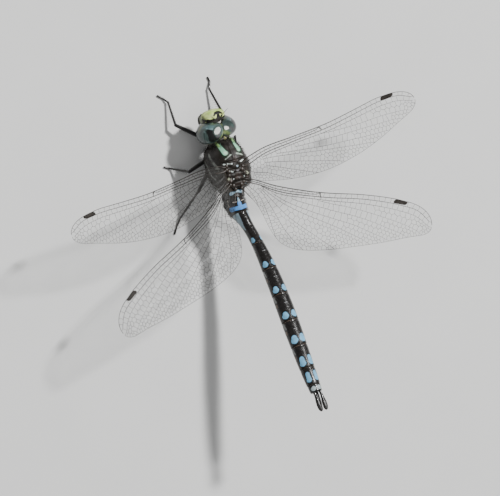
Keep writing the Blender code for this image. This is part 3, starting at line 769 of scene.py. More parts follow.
def segment_finish(number):
    """Glossy black ring with its own blue and pale marks; on rings four to seven, pale ticks
    across the ridge are a painted highlight.
    """
    tones = bpy.context.scene.darner_colours
    length = SEGMENT_LENGTHS[number - 1]
    blue, side = tones.blue, tones.pale_blue
    brown, flank = (0.15, 0.10, 0.075), (0.20, 0.205, 0.20)
    strokes = []
    if number == 1:
        strokes = [((0.24, 0.38, 0.48), (((0.1, 0.32, 0), (1.25, 0.6, 0), 0.20, 0.36, 0.06),))]
    elif number == 2:
        strokes = [
            ((0.20, 0.33, 0.43), (((0.0, 0.0, 0), (0.0, 1.5, 0), 0.05, 0.40, 0.06),)),
            ((0.075, 0.26, 0.62), (((0.0, 1.4, 0), (0.0, 2.5, 0), 0.38, 0.60, 0.06),
                                     ((0.0, 2.6, 0), (2.25, 2.35, 0), 0.45, 0.50, 0.07))),
            (tones.black, (((0.55, 1.85, 0), (1.0, 1.55, 0), 0.14, 0.25, 0.07),)),
            ((0.42, 0.38, 0.34), (((0.55, 1.0, 0), (1.3, 0.9, 0), 0.06, 0.09, 0.04),
                                  ((2.5, 0.2, 0), (2.6, 1.6, 0), 0.08, 0.12, 0.06)))]
    elif number == 3:
        strokes = [(side, (((2.0, 0.35, 0), (1.75, 2.2, 0), 1.0, 0.62, 0.10),
                           ((1.75, 2.2, 0), (1.45, 3.9, 0), 0.62, 0.10, 0.08)))]
    elif number <= 8:
        strokes = [
            (flank, (((2.35, 0.45, 0), (2.05, 1.45, 0), 0.30, 0.22, 0.14),)),
            (brown, (((2.2, 2.1, 0), (2.3, 2.5, 0), 0.20, 0.22, 0.12),
                     ((0.35, 0.12, 0), (2.6, 0.10, 0), 0.03, 0.04, 0.03)))]
    # Pale ticks across the raised ridge at mid-ring: a painted highlight where the ridge catches
    # the light.
    if 3 < number < 8:
        middle = length * 0.37
        strokes.append(((0.34, 0.35, 0.36), (
            ((0.10, middle, 0), (0.34, middle, 0), 0.05, 0.04, 0.03),)))
    if number > 2:
        arc, place, half, reach = SPOTS[number]
        paint = (0.34, 0.40, 0.41) if number == 10 else blue
        low_edge = place + reach - 0.6 * half
        strokes.append((paint, (
            ((arc - 0.42 * half, low_edge, 0), (arc + 0.45 * half, low_edge + 0.06, 0),
             0.55 * half, 0.60 * half, 0.06),
            ((arc - 0.05, place - reach + 0.75 * half, 0), (arc, low_edge, 0),
             0.72 * half, 0.85 * half, 0.06))))
    if number in (8, 9):
        strokes.append((brown, (((2.7, 0.5, 0), (2.7, length - 0.5, 0), 0.10, 0.14, 0.08),)))
    return plate_material(
        f"ring_{number}_black", tones.black, strokes, roughness=0.24, mark_roughness=0.36,
        pits=7.0, bump=0.7, wobble=0.10, Specular_IOR_Level=0.3, Coat_Weight=0.25,
        Coat_Roughness=0.12)


# ---- head ----
def frons():
    """The swollen upper face, straight."""
    return lobe((0, -2.68, 0.10), (2.62, 1.28, 1.62), 2.7, 40, 72)


def face_turned(points):
    """Points of the face, turned aside with it, in the insect's frame."""
    x, y = points[..., 0], points[..., 1] - FACE_PIVOT
    turned = np.stack([x * math.cos(FACE_TURN) - y * math.sin(FACE_TURN),
                       x * math.sin(FACE_TURN) + y * math.cos(FACE_TURN) + FACE_PIVOT,
                       points[..., 2]], -1)
    return in_head(turned)


FACE_LUMPS = (              # centre, radii and power of each plate below the frons
    ((0, -2.42, -1.20), (1.80, 1.10, 0.70), 2.4),      # clypeus
    ((0, -2.30, -1.92), (1.40, 0.98, 0.52), 2.4),      # lower clypeus
    ((0, -2.12, -2.52), (1.10, 0.88, 0.62), 2.3))      # upper lip
FACE_BACK = 0.10            # how far back a plate's ends lie, as a part of its depth
SIMPLE_EYES = ((0, -1.86, 1.72), (0.52, -1.58, 1.86), (-0.52, -1.58, 1.86))


def build_face():
    """Head capsule, frons, clypeus, lips, crown and occiput."""
    tones = bpy.context.scene.darner_colours
    capsule = upright_rings(
        HEAD_SECTIONS, np.linspace(-2.9, HEAD_SECTIONS[-1][0], 34), 64, 0.98, 2.3)
    rear = lobe((-0.1, 2.12, 1.95), (1.55, 0.48, 0.60), 2.3, 24, 40)
    skin_piece("head_capsule", (headed(capsule), headed(rear)), plate_material(
        "head_brown", tones.brown, (
            ((0.17, 0.19, 0.11), (((2.0, -2.9, -1.4), (2.4, -2.4, -1.0), 0.8, 0.6, 0.3),)),),
        roughness=0.5, pits=6.0), ("head",))

    plates = [(face_turned(frons()), frons() + FACE_LEAN)]
    for centre, radii, power in FACE_LUMPS:
        shape = lobe(centre, radii, power, 40, 72)
        shape[..., 1] += FACE_BACK * (shape[..., 0] / radii[0]) ** 2 * radii[1]
        plates.append((face_turned(shape), shape))
    skin_piece("face_plates", plates, face_finish())

    jaws = []
    for side in (1, -1):
        for centre, radii, power in (((0.62 * side, -1.95, -3.0), (0.50, 0.85, 0.60), 2.2),
                                     ((0.60 * side, -1.2, -3.62), (0.62, 1.15, 0.52), 2.3)):
            shape = lobe(centre, radii, power, 24, 32)
            jaws.append((face_turned(shape), shape))
    jaws.append(headed(lobe((0, -0.8, -3.66), (0.9, 1.0, 0.5), 2.3, 24, 32)))
    skin_piece("jaws", jaws, plate_material(
        "jaw_brown", (0.06, 0.06, 0.04), (
            ((0.012, 0.010, 0.008), (((0.7, -1.0, -3.7), (1.1, -1.6, -3.6), 0.5, 0.3, 0.2),)),),
        roughness=0.4), ("mouthparts",))

    crown = headed(lobe((0, -1.42, 1.60), (0.78, 0.46, 0.50), 2.2, 30, 48))
    skin_piece("crown", [crown], plate_material(
        "crown_black", tones.black, (
            ((0.52, 0.50, 0.44), (
                ((0, -1.52, 2.05), (0.30, -1.58, 2.0), 0.11, 0.11, 0.04),
                ((0.30, -1.58, 2.0), (0.55, -1.75, 1.9), 0.11, 0.07, 0.04))),),
        roughness=0.3, Coat_Weight=0.3))
    simple = [headed(lobe(place, (0.15, 0.13, 0.14), 2.0, 14, 20)) for place in SIMPLE_EYES]
    skin_piece("simple_eyes", simple, plate_material(
        "simple_eye_amber", (0.05, 0.035, 0.02), roughness=0.1, Coat_Weight=0.8))

    shape = lobe((0, 2.0, 2.36), (0.42, 0.36, 0.42), 2.0, 24, 32)
    shape[..., 0] *= 0.35 + 0.65 * step(shape[..., 1], 1.6, 2.2)
    skin_piece("occiput", [headed(shape)], plate_material(
        "occiput_pale", (0.46, 0.44, 0.20), roughness=0.4))


def build_eyes():
    """Two large compound eyes that meet along the crown."""
    finish = eye_finish()
    softness, seam_place = 0.09, 0.05
    for side, sign in (("left", 1), ("right", -1)):
        shape = ball(72, 96, "x")
        reach = 1.0 + 0.06 * np.maximum(shape[..., 1], 0) * np.abs(shape[..., 0])
        shape = np.stack([shape[..., 0] * EYE_RADII[0] * reach,
                          shape[..., 1] * EYE_RADII[1] * reach,
                          shape[..., 2] * EYE_RADII[2]], -1)
        shape[..., 1] += 0.16 * shape[..., 0] * sign
        shape += EYE_OFFSET * (sign, 1, 1)
        past_seam = (shape[..., 0] * sign - seam_place) / softness
        shape[..., 0] = (seam_place + softness * np.logaddexp(0, past_seam)) * sign
        before_back = (EYE_BACK - shape[..., 1]) / softness
        shape[..., 1] = EYE_BACK - softness * np.logaddexp(0, before_back)
        eye = skin_piece("compound_eye_" + side, [headed(shape)], finish,
                         ("eye_" + side,))
        for group in ("glint_" + side, "key_spares"):
            lit_group(group).objects.link(eye)
    for entry in lit_group("key_spares").collection_objects:
        entry.light_linking.link_state = "EXCLUDE"


def build_antennae():
    """Short bristle feelers, each on two thicker joints."""
    shell = Shell()
    for sign in (1, -1):
        root = np.array((0.8 * sign, -2.35, 1.55))
        aim = unit((0.62 * sign, -0.66, 0.42))
        path = np.array([root + aim * 2.3 * t + (0, 0, 0.3 * t * t)
                         for t in np.linspace(0, 1, 30)])
        t = np.linspace(0, 1, 30)
        radii = 0.03 + 0.055 * (1 - t) + 0.13 * step(t, 0.26, 0.2) * (
            1 - 0.35 * hump(t, 0.12, 0.02))
        shell.add(*tube(in_head(path), radii, 14))
    make_piece("feelers", shell, plate_material(
        "feeler_black", bpy.context.scene.darner_colours.black, roughness=0.3),
        ("antenna_left", "antenna_right"))


# ---- trunk ----
COLLAR_SECTIONS = (
    (-6.22, 7.2, 8.9, 0.9), (-6.1, 6.7, 9.3, 1.4), (-5.9, 6.3, 9.5, 1.7),
    (-5.6, 5.9, 9.6, 1.9), (-5.3, 5.7, 9.7, 2.0), (-5.0, 5.9, 9.8, 1.9))


def build_neck():
    """Neck and the small collar of the front legs."""
    tones = bpy.context.scene.darner_colours
    shell = Shell()
    shell.add(*tube([(-0.08, -7.2, 7.85), (-0.05, -6.84, 7.9), (0, -6.5, 7.95),
                     (0, -6.15, 8.0)], [0.8, 0.72, 0.68, 0.85], 36, power=2.2))
    make_piece("neck_joint", shell, plate_material(
        "neck_brown", (0.05, 0.035, 0.02), roughness=0.5), ("neck",))
    places = np.linspace(COLLAR_SECTIONS[0][0], COLLAR_SECTIONS[-1][0], 22)
    rings = upright_rings(
        COLLAR_SECTIONS, places, 72, 1 - 0.06 * hump(places, -5.72, 0.10), 2.2)
    skin_piece("collar", [(rings, None)], plate_material(
        "collar_brown", tones.brown, (
            ((0.20, 0.27, 0.10), (((1.25, -5.5, 9.3), (1.5, -5.65, 8.9), 0.14, 0.24, 0.08),)),),
        roughness=0.4), ("prothorax",))


CHEST_LUMPS = (             # turn from the top, y, their widths, height of each back plate
    (0.23, -1.20, 0.15, 0.40, 0.060), (0.00, -1.72, 0.09, 0.20, 0.030),
    (0.00, -0.38, 0.12, 0.28, 0.055), (0.40, -0.36, 0.09, 0.22, 0.040),
    (0.19, 0.42, 0.12, 0.24, 0.045), (0.60, -1.10, 0.11, 0.34, 0.065),
    (0.61, 0.02, 0.09, 0.24, 0.045), (0.26, 1.35, 0.15, 0.38, 0.060),
    (0.00, 1.10, 0.07, 0.28, 0.030), (0.00, 2.15, 0.13, 0.30, 0.055),
    (0.58, 1.55, 0.11, 0.34, 0.060), (0.32, 2.45, 0.11, 0.26, 0.040),
    (0.60, 2.50, 0.10, 0.26, 0.050), (0.00, 3.10, 0.20, 0.22, 0.045),
    (0.43, 0.75, 0.08, 0.20, 0.040), (0.80, -0.45, 0.08, 0.30, 0.020))


def chest_relief(turn, y):
    """Keel, back plates, seams and flank plates of the chest, as a factor on its section."""
    side = np.abs(turn)
    shape = 0.026 * hump(side, 0.0, 0.045) * step(y, -1.9, -2.4) * step(y, -5.2, -4.6)
    sunk = step(side, 0.74, 0.60) * step(y, -2.05, -1.75) * step(y, 3.75, 3.4)
    shape -= 0.055 * sunk
    for place, along, width, length, height in CHEST_LUMPS:
        lump = hump(side, place, width) * hump(y, along, length)
        shape += height * np.minimum(lump * 1.6, 1.0)
    shape += 0.008 * np.sin(9.0 * side + 2.1 * y) * np.sin(3.7 * y + 1.0) * sunk
    slope = y - 1.35 * (1.75 - side)
    for place, depth in ((-3.35, 0.016), (-0.95, 0.018), (1.35, 0.018)):
        shape -= depth * hump(slope, place, 0.10) * step(side, 0.75, 0.95) * step(
            side, 2.75, 2.5)
        shape += 0.008 * hump(slope, place + 0.9, 0.6) * step(side, 0.85, 1.1) * step(
            side, 2.75, 2.5)
    shape -= 0.012 * hump(side, 2.65, 0.06)
    return 1 + shape


def chest_rings():
    """Rings over the deep chest with its keel, seams and back plates."""
    turns, signed = turns_of(240), signed_turns(240)
    rings = []
    for t in np.linspace(0, 1, 170):
        y = THORAX_FRONT + (THORAX_REAR - THORAX_FRONT) * t
        under, top, half = smooth_read(THORAX_SECTIONS, y)
        edge = min(t, 1 - t) * (THORAX_REAR - THORAX_FRONT)
        soft = 1 - 0.22 * (1 - min(edge / 0.45, 1)) ** 2.4
        across, height = oval(
            turns, half * 0.985 * soft, (top - under) / 2 * 0.985 * soft, 2.45)
        relief = chest_relief(signed, y)
        # The upper half is slimmer than the solid, and its front leans forward as a brow.
        across *= 1 - 0.12 * step(y, 0.5, -2.6) * step(np.cos(turns), -0.4, 0.4)
        brow = 0.85 + 0.15 * step(np.sin(turns), 0.2, -0.6)
        brow *= step(y, -4.1, THORAX_FRONT) * step(np.cos(turns), 0.0, 0.8)
        rings.append(np.stack([across * relief, y - brow,
                               (top + under) / 2 + height * relief], 1))
    rings = np.array(rings)
    marks = rings.copy()
    marks[..., 0] += CHEST_LEAN * (1.9 * step(rings[..., 1], -5.6, -3.6) - 0.9)
    slim = step(rings[..., 1], -3.4, -5.4) * step(np.cos(turns), -0.2, 0.6)
    rings[..., 0] *= 1 - 0.18 * slim
    return rings + (THORAX_SHIFT, 0, 0), marks


def build_chest():
    """The chest in one skin."""
    skin_piece("chest_plates", [chest_rings()], chest_finish(), ("thorax",))


def ring_skin(number):
    """Rings over one part of the abdomen, and their arc, place along and zero."""
    sides, start, length = 72, sum(SEGMENT_LENGTHS[:number - 1]), SEGMENT_LENGTHS[number - 1]
    turns, signed = turns_of(sides), signed_turns(sides)
    fold = (1 + 0.015 * hump(signed, 0, 0.10) - 0.05 * hump(np.abs(signed), 0.80 * math.pi, 0.10)
            - 0.03 * step(np.abs(signed), 0.80 * math.pi, 0.86 * math.pi))
    lips = np.array((0, 0.012, 0.035, 0.07, 0.12, 0.2, 0.3, 0.42))
    inner = np.linspace(0.52, length - 0.52, max(int((length - 1.0) * 6), 5))
    rings, marks = [], []
    for along in np.concatenate([lips + 0.02, inner, (length - 0.02 - lips)[::-1]]):
        width, height = smooth_read(ABDOMEN_SECTIONS, start + along)
        point, _, up = abdomen_place(start + along)
        near = min(along - 0.02, length - 0.02 - along)
        swell = 1 - 0.14 * (1 - min(near / 0.16, 1)) ** 2.2
        swell -= 0.035 * hump(along, 0.34, 0.14) * (number > 1)
        swell += 0.014 * hump(along, length * 0.38, 0.09) * (2 < number < 8)
        swell += 0.012 * hump(along, length - 0.16, 0.09)
        a, b = oval(turns, width / 2 * 0.985, height / 2 * 0.985, 2.1)
        rings.append(cross_ring(point, a * fold * swell, b * fold * swell, up))
        gaps = np.hypot(np.diff(a), np.diff(b))
        arc = np.concatenate([[0], np.cumsum(gaps)])
        whole = arc[-1] + np.hypot(a[-1] - a[0], b[-1] - b[0])
        arc = np.where(turns > math.pi, arc - whole, arc)
        marks.append(np.stack([arc, np.full(sides, along), np.zeros(sides)], 1))
    return np.array(rings), np.array(marks)


def build_abdomen():
    """Ten rings with raised rims, joined by a dark inner skin."""
    for number in range(1, 11):
        skins = [ring_skin(number)]
        if number == 2:
            point, _, up = abdomen_place(SEGMENT_LENGTHS[0] + EAR_PLACE)
            for sign in (1, -1):
                centre = point + (2.12 * sign, 0, 0) - up * 0.75
                ear = lobe(centre, (0.30, 0.55, 0.34), 2.0, 16, 24)
                skins.append((ear, ear * 0 + (2.9, 1.9, 0)))
        skin_piece(f"ring_{number}", skins, segment_finish(number),
                   (f"abdomen_{number}",))
    inside = []
    for along in np.linspace(-0.6, sum(SEGMENT_LENGTHS) - 0.1, 90):
        width, height = smooth_read(ABDOMEN_SECTIONS, max(along, 0))
        point, ahead, up = abdomen_place(max(along, 0))
        a, b = oval(turns_of(36), width / 2 * 0.86, height / 2 * 0.86, 2.1)
        inside.append(cross_ring(point + ahead * min(along, 0), a, b, up))
    skin_piece("inner_skin", [(inside, None)], plate_material(
        "joint_brown", (0.06, 0.045, 0.03), roughness=0.6))


CERCUS_SECTIONS = (         # part of the length, half width, half thickness
    (0.0, 0.24, 0.30), (0.05, 0.30, 0.34), (0.16, 0.26, 0.31), (0.36, 0.36, 0.28),
    (0.6, 0.52, 0.24), (0.82, 0.52, 0.20), (0.94, 0.36, 0.17), (0.985, 0.17, 0.13),
    (1.0, 0.04, 0.05))
LOWER_PLATE_SECTIONS = (
    (0.0, 0.5, 0.22), (0.2, 0.5, 0.24), (0.35, 0.44, 0.23), (0.75, 0.32, 0.2),
    (0.95, 0.2, 0.14), (1.0, 0.05, 0.05))


def build_tail():
    """Two upper claspers and the lower tail plate."""
    finish = plate_material("tail_black", bpy.context.scene.darner_colours.black,
                            roughness=0.25, pits=5.0, Coat_Weight=0.3)
    point, ahead, up = abdomen_place(sum(SEGMENT_LENGTHS))
    turns = turns_of(40)
    for side, sign in (("left", 1), ("right", -1)):
        rings = []
        for t in np.concatenate([np.linspace(0, 0.9, 34), np.linspace(0.91, 0.998, 12)]):
            across = 0.66 + 0.05 * math.sin(math.pi * t) - 0.10 * t
            centre = (point + ahead * (-0.1 + (CERCUS_LENGTH + 0.2) * t)
                      + up * (0.42 - 0.3 * t * t) + np.array((across * sign, 0, 0)))
            a, b = oval(turns, *smooth_read(CERCUS_SECTIONS, t), 2.2)
            b = b + 0.05 * hump(a, -0.08 * sign, 0.10) * (b > 0) * (t > 0.2)
            rings.append(cross_ring(centre, a, b, up))
        skin_piece("clasper_" + side, [(rings, None)], finish, ("cercus_" + side,))
    rings = []
    for t in np.linspace(0, 1, 40):
        centre = point + ahead * (-0.1 + 3.05 * t) - up * (0.42 - 0.12 * t)
        a, b = oval(turns, *smooth_read(LOWER_PLATE_SECTIONS, t), 2.2)
        rings.append(cross_ring(centre, a, b, up))
    skin_piece("lower_plate", [(rings, None)], finish, ("epiproct",))


# ---- legs ----
def leg_foot(ankle, ball_joint, claw):
    """A foot of three joints with a pair of claws."""
    foot, t = Shell(), np.linspace(0, 1, 8)
    stops = (ankle, (ankle + ball_joint) / 2, ball_joint, claw)
    for start, end in zip(stops, stops[1:]):
        line = start + (end - start) * t[:, None]
        width = 0.17 + 0.035 * t
        line[:, 2] = np.maximum(line[:, 2], width + 0.012)
        foot.add(*tube(line, width, 16))
    ahead = unit((claw - ball_joint) * (1, 1, 0))
    across = np.cross(ahead, (0, 0, 1))
    for sign in (1, -1):
        hook = np.array([claw + ahead * 0.06 * s + across * sign * 0.07 * (1 + s)
                         + np.array((0, 0, 0.02 * s - 0.035 * s * s))
                         for s in np.linspace(0, 1.3, 8)])
        hook[:, 2] = np.maximum(hook[:, 2], 0.06)
        foot.add(*tube(hook, np.linspace(0.07, 0.025, 8), 8))
    return foot


def leg_spines(hip, knee, ankle, ball_joint, claw):
    """Roots, aims and sizes of the spines, in two rows below each part of a leg."""
    roots, aims, sizes = [], [], []
    for start, end, count, radius, size in (
            (hip, knee, 9, 0.34, 0.42), (knee, ankle, 10, 0.19, 1.0),
            (ankle, ball_joint, 5, 0.13, 0.36), (ball_joint, claw, 4, 0.13, 0.30)):
        way = unit(end - start)
        out = unit(np.cross(way, (0, 0, 1)))
        below = unit(np.cross(way, out))
        below = below * (1 if below[2] < 0 else -1)
        for sign in (1, -1):
            lean = unit(out * sign + below * (0.45 if size > 0.4 else -0.1))
            for t in np.linspace(0.14, 0.93, count):
                roots.append(start + (end - start) * t + lean * radius * 0.8)
                aims.append(unit(lean + way * 0.55))
                sizes.append(size * (1 - 0.35 * t))
    return roots, aims, sizes


def build_legs():
    """Six spiny legs with three-part feet and paired claws."""
    finish = plate_material("leg_black", bpy.context.scene.darner_colours.black,
                            roughness=0.3, pits=5.0, Coat_Weight=0.2)
    t = np.linspace(0, 1, 22)
    thigh_radii = 0.40 - 0.05 * t + 0.07 * np.sin(math.pi * t) - 0.05 * hump(t, 0.1, 0.02)
    shin_radii = 0.27 - 0.06 * t + 0.03 * hump(t, 0.03, 0.05) + 0.03 * hump(t, 0.98, 0.05)
    for key, joints in LEG_JOINTS.items():
        pair, side = key.split("_")
        hip, knee, ankle, ball_joint, claw = (np.array(joint) for joint in joints)
        claw = claw - unit(claw - ball_joint) * CLAW_SET_BACK
        if pair == "fore":
            inner = np.array((hip[0] * 0.7, COXA_BACK, COXA_HEIGHT))
        else:
            inner = hip + unit(np.array((0, hip[1], 7.0)) - hip) * 1.3
        thigh, shin = Shell(), Shell()
        thigh.add(*tube(hip + (knee - hip) * t[:, None], thigh_radii, 20))
        thigh.add(*tube([inner, inner * 0.6 + hip * 0.4, hip], [0.62, 0.6, 0.48], 20))
        shin.add(*tube(knee + (ankle - knee) * t[:, None], shin_radii, 18))
        for name, solid, shell in (("thigh", "femur", thigh), ("shin", "tibia", shin),
                                   ("foot", "tarsus", leg_foot(ankle, ball_joint, claw))):
            make_piece(f"{key}_{name}", shell, finish, (f"{pair}_{solid}_{side}",))
        roots, aims, sizes = leg_spines(hip, knee, ankle, ball_joint, claw)
        settle(grow(
            f"{key}_spines", "Bristles", roots, [],
            {"aim": aims, "size": sizes, "marks": roots},
            {"Sides": 6, "Length": 0.85 * MM, "Root radius": 0.045 * MM, "Finish": finish}))


# ---- geometry trees ----
def new_tree(name, inputs):
    """An empty geometry tree with named inputs."""
    tree = bpy.data.node_groups.new(name, "GeometryNodeTree")
    add_sockets(tree, "INPUT", (("Geometry", "Geometry"), *inputs))
    add_sockets(tree, "OUTPUT", (("Geometry", "Geometry"),))
    wire = Wiring(tree)
    return tree, wire, wire.add("NodeGroupInput").outputs


def read_attribute(wire, name, kind):
    """A named attribute of the points that a tree runs over."""
    return wire.add("GeometryNodeInputNamedAttribute", {"Name": name}, data_type=kind).outputs[0]


def close_tree(wire, geometry, finish):
    """End a tree: its parts are made real, smooth and of one finish."""
    whole = wire.add("GeometryNodeRealizeInstances", {"Geometry": geometry}).outputs[0]
    smooth = wire.add("GeometryNodeSetShadeSmooth", {"Geometry": whole}).outputs[0]
    done = wire.add("GeometryNodeSetMaterial", {
        "Geometry": smooth, "Material": finish}).outputs[0]
    wire.add("NodeGroupOutput", {"Geometry": done})


def vein_tree():
    """Round tubes along the edges of a net, as thick as its radius attribute says."""
    tree, wire, source = new_tree("Vein tubes", (
        ("Sides", "Int", 6), ("Thickness", "Float", 1.0), ("Finish", "Material")))
    curve = wire.add("GeometryNodeMeshToCurve", {"Mesh": source["Geometry"]}).outputs[0]
    radius = wire.math("MULTIPLY", read_attribute(wire, "radius", "FLOAT"),
                       source["Thickness"])
    curve = wire.add("GeometryNodeSetCurveRadius", {
        "Curve": curve, "Radius": radius}).outputs[0]
    ring = wire.add("GeometryNodeCurvePrimitiveCircle", {
        "Resolution": source["Sides"], "Radius": 1.0}, mode="RADIUS").outputs[0]
    tubes = wire.add("GeometryNodeCurveToMesh", {
        "Curve": curve, "Profile Curve": ring, "Fill Caps": True})
    if "Scale" in tubes.inputs:
        wire.feed(tubes, {"Scale": radius})
    close_tree(wire, tubes.outputs[0], source["Finish"])
    return tree


def bristle_tree():
    """A tapered bristle on each point, along its aim and as big as its size."""
    tree, wire, source = new_tree("Bristles", (
        ("Sides", "Int", 4), ("Length", "Float", 0.7 * MM),
        ("Root radius", "Float", 0.02 * MM), ("Finish", "Material")))
    aim = read_attribute(wire, "aim", "FLOAT_VECTOR")
    turn = wire.add("FunctionNodeAlignRotationToVector", {"Vector": aim}, axis="Z").outputs[0]
    cone = wire.add("GeometryNodeMeshCone", {
        "Vertices": source["Sides"], "Radius Bottom": source["Root radius"],
        "Radius Top": 0.004 * MM, "Depth": source["Length"]}).outputs[0]
    placed = wire.add("GeometryNodeInstanceOnPoints", {
        "Points": source["Geometry"], "Instance": cone, "Rotation": turn,
        "Scale": read_attribute(wire, "size", "FLOAT")}).outputs[0]
    close_tree(wire, placed, source["Finish"])
    return tree


TREES = {"Vein tubes": vein_tree, "Bristles": bristle_tree}


def grow(name, tree_name, points, edges, values, inputs):
    """Run a geometry tree over points and edges, and keep its result as a plain mesh."""
    seed_mesh = bpy.data.meshes.new(name + "_seed")
    seed_mesh.from_pydata((np.asarray(points) * MM + ORIGIN).tolist(), edges, [])
    for key, value in values.items():
        value = np.asarray(value, np.float32)
        kind, field = ("FLOAT_VECTOR", "vector") if value.ndim == 2 else ("FLOAT", "value")
        seed_mesh.attributes.new(key, kind, "POINT").data.foreach_set(field, value.ravel())
    source = new_object(name + "_seed", seed_mesh)
    tree = bpy.data.node_groups.get(tree_name) or TREES[tree_name]()
    modifier = source.modifiers.new(tree_name, "NODES")
    modifier.node_group = tree
    for item in tree.interface.items_tree:
        if item.in_out == "INPUT" and item.name in inputs:
            modifier[item.identifier] = inputs[item.name]
    depsgraph = bpy.context.evaluated_depsgraph_get()
    mesh = bpy.data.meshes.new_from_object(source.evaluated_get(depsgraph))
    bpy.data.objects.remove(source)
    bpy.data.meshes.remove(seed_mesh)
    mesh.name = name
    return new_object(name, mesh)


def sprout(name, rings, marks, finish, tufts, seed, weight, length, rise, lay=1.0):
    """Down in small tufts over a skin, lying along it and marked as the skin is."""
    chance = np.random.default_rng(seed)
    rows, sides = rings.shape[:2]
    along = np.gradient(rings, axis=0)
    around = (np.roll(rings, -1, 1) - np.roll(rings, 1, 1)) / 2
    normal = np.cross(around, along)
    outward = rings - rings.mean(1, keepdims=True)
    normal *= np.sign((normal * outward).sum(-1, keepdims=True))
    share = (np.linalg.norm(normal, axis=-1) * weight).ravel()
    picked = chance.choice(rows * sides, tufts, p=share / share.sum())
    row, side = np.divmod(np.repeat(picked, HAIRS_PER_TUFT), sides)
    count = len(row)
    along, around, normal = (unit(way)[row, side] for way in (along, around, normal))
    spread = chance.normal(0, 0.05, (count, 2))
    roots = rings[row, side] + around * spread[:, :1] + along * spread[:, 1:] - normal * 0.02
    lift = rise[row, side][:, None]
    lay = np.broadcast_to(lay, rise.shape)[row, side][:, None]
    aims = unit(along * lay + normal * lift + chance.normal(0, 0.2, (count, 3)))
    sizes = chance.uniform(0.6, 1.1, count) * length[row, side]
    patch = np.stack([(side + 0.5) / sides, row / (rows - 1), np.zeros(count)], 1)
    piece = grow(
        name, "Bristles", roots, [],
        {"aim": aims, "size": sizes, "marks": marks[row, side], "patch": patch},
        {"Sides": 4, "Length": 1.0 * MM, "Root radius": 0.02 * MM, "Finish": finish})
    mesh = piece.data
    size = len(mesh.vertices)
    places = np.empty(size * 3, np.float32)
    mesh.attributes["patch"].data.foreach_get("vector", places)
    turn = np.arange(size) % (size // count) * 2.4
    places = places.reshape(-1, 3)[:, :2] + PATCH_SIZE / 2 * np.stack(
        [np.cos(turn), np.sin(turn)], 1)
    corners = np.empty(len(mesh.loops), np.int32)
    mesh.loops.foreach_get("vertex_index", corners)
    for layer in list(mesh.uv_layers):
        mesh.uv_layers.remove(layer)
    mesh.uv_layers.new(name="OFBake").data.foreach_set(
        "uv", places[corners].astype(np.float32).ravel())
    for key in ("aim", "size", "patch"):
        mesh.attributes.remove(mesh.attributes[key])
    return settle(piece)


def finish_of(name, maker):
    """A finish that is already in the file, or a new one."""
    return bpy.data.materials.get(name) or maker()


def build_down():
    """Fine down on the chest, on the first two rings and, shortest, on the face."""
    coat = bpy.context.scene.darner_coat
    rings, marks = chest_rings()
    turn = np.broadcast_to(np.abs(signed_turns(rings.shape[1])), rings.shape[:2])
    y = rings[..., 1]
    front, flank = step(y, -4.3, -5.1), step(turn, 0.75, 1.25)
    rear = step(y, 2.0, 3.6)
    sprout("chest_down", rings, marks,
           finish_of("chest_brown", chest_finish), coat.count // HAIRS_PER_TUFT,
           coat.seed, 0.22 + flank + 2.4 * front + 0.7 * rear,
           coat.length / MM * (0.45 + 0.55 * flank + 0.55 * front + 0.25 * rear),
           0.45 + 0.25 * front, 1 - 1.8 * front)
    for number, tufts in ((1, 260), (2, 320)):
        rings, marks = ring_skin(number)
        flank = step(np.abs(marks[..., 0]), 1.7, 2.8)
        sprout(f"ring_{number}_down", rings, marks,
               finish_of(f"ring_{number}_black", lambda: segment_finish(number)),
               tufts, coat.seed + number, 0.05 + flank, 0.3 + 0.35 * flank, 0.45 + 0 * flank)
    shape = frons()
    edge = np.abs(shape[..., 0]) / 2.7
    sprout("face_down", face_turned(shape), shape + FACE_LEAN,
           finish_of("face_green", face_finish), 220, coat.seed + 5,
           0.15 + step(edge, 0.5, 0.9) + step(shape[..., 2], 0.0, -1.0),
           0.22 + 0 * edge, 0.6 + 0 * edge)


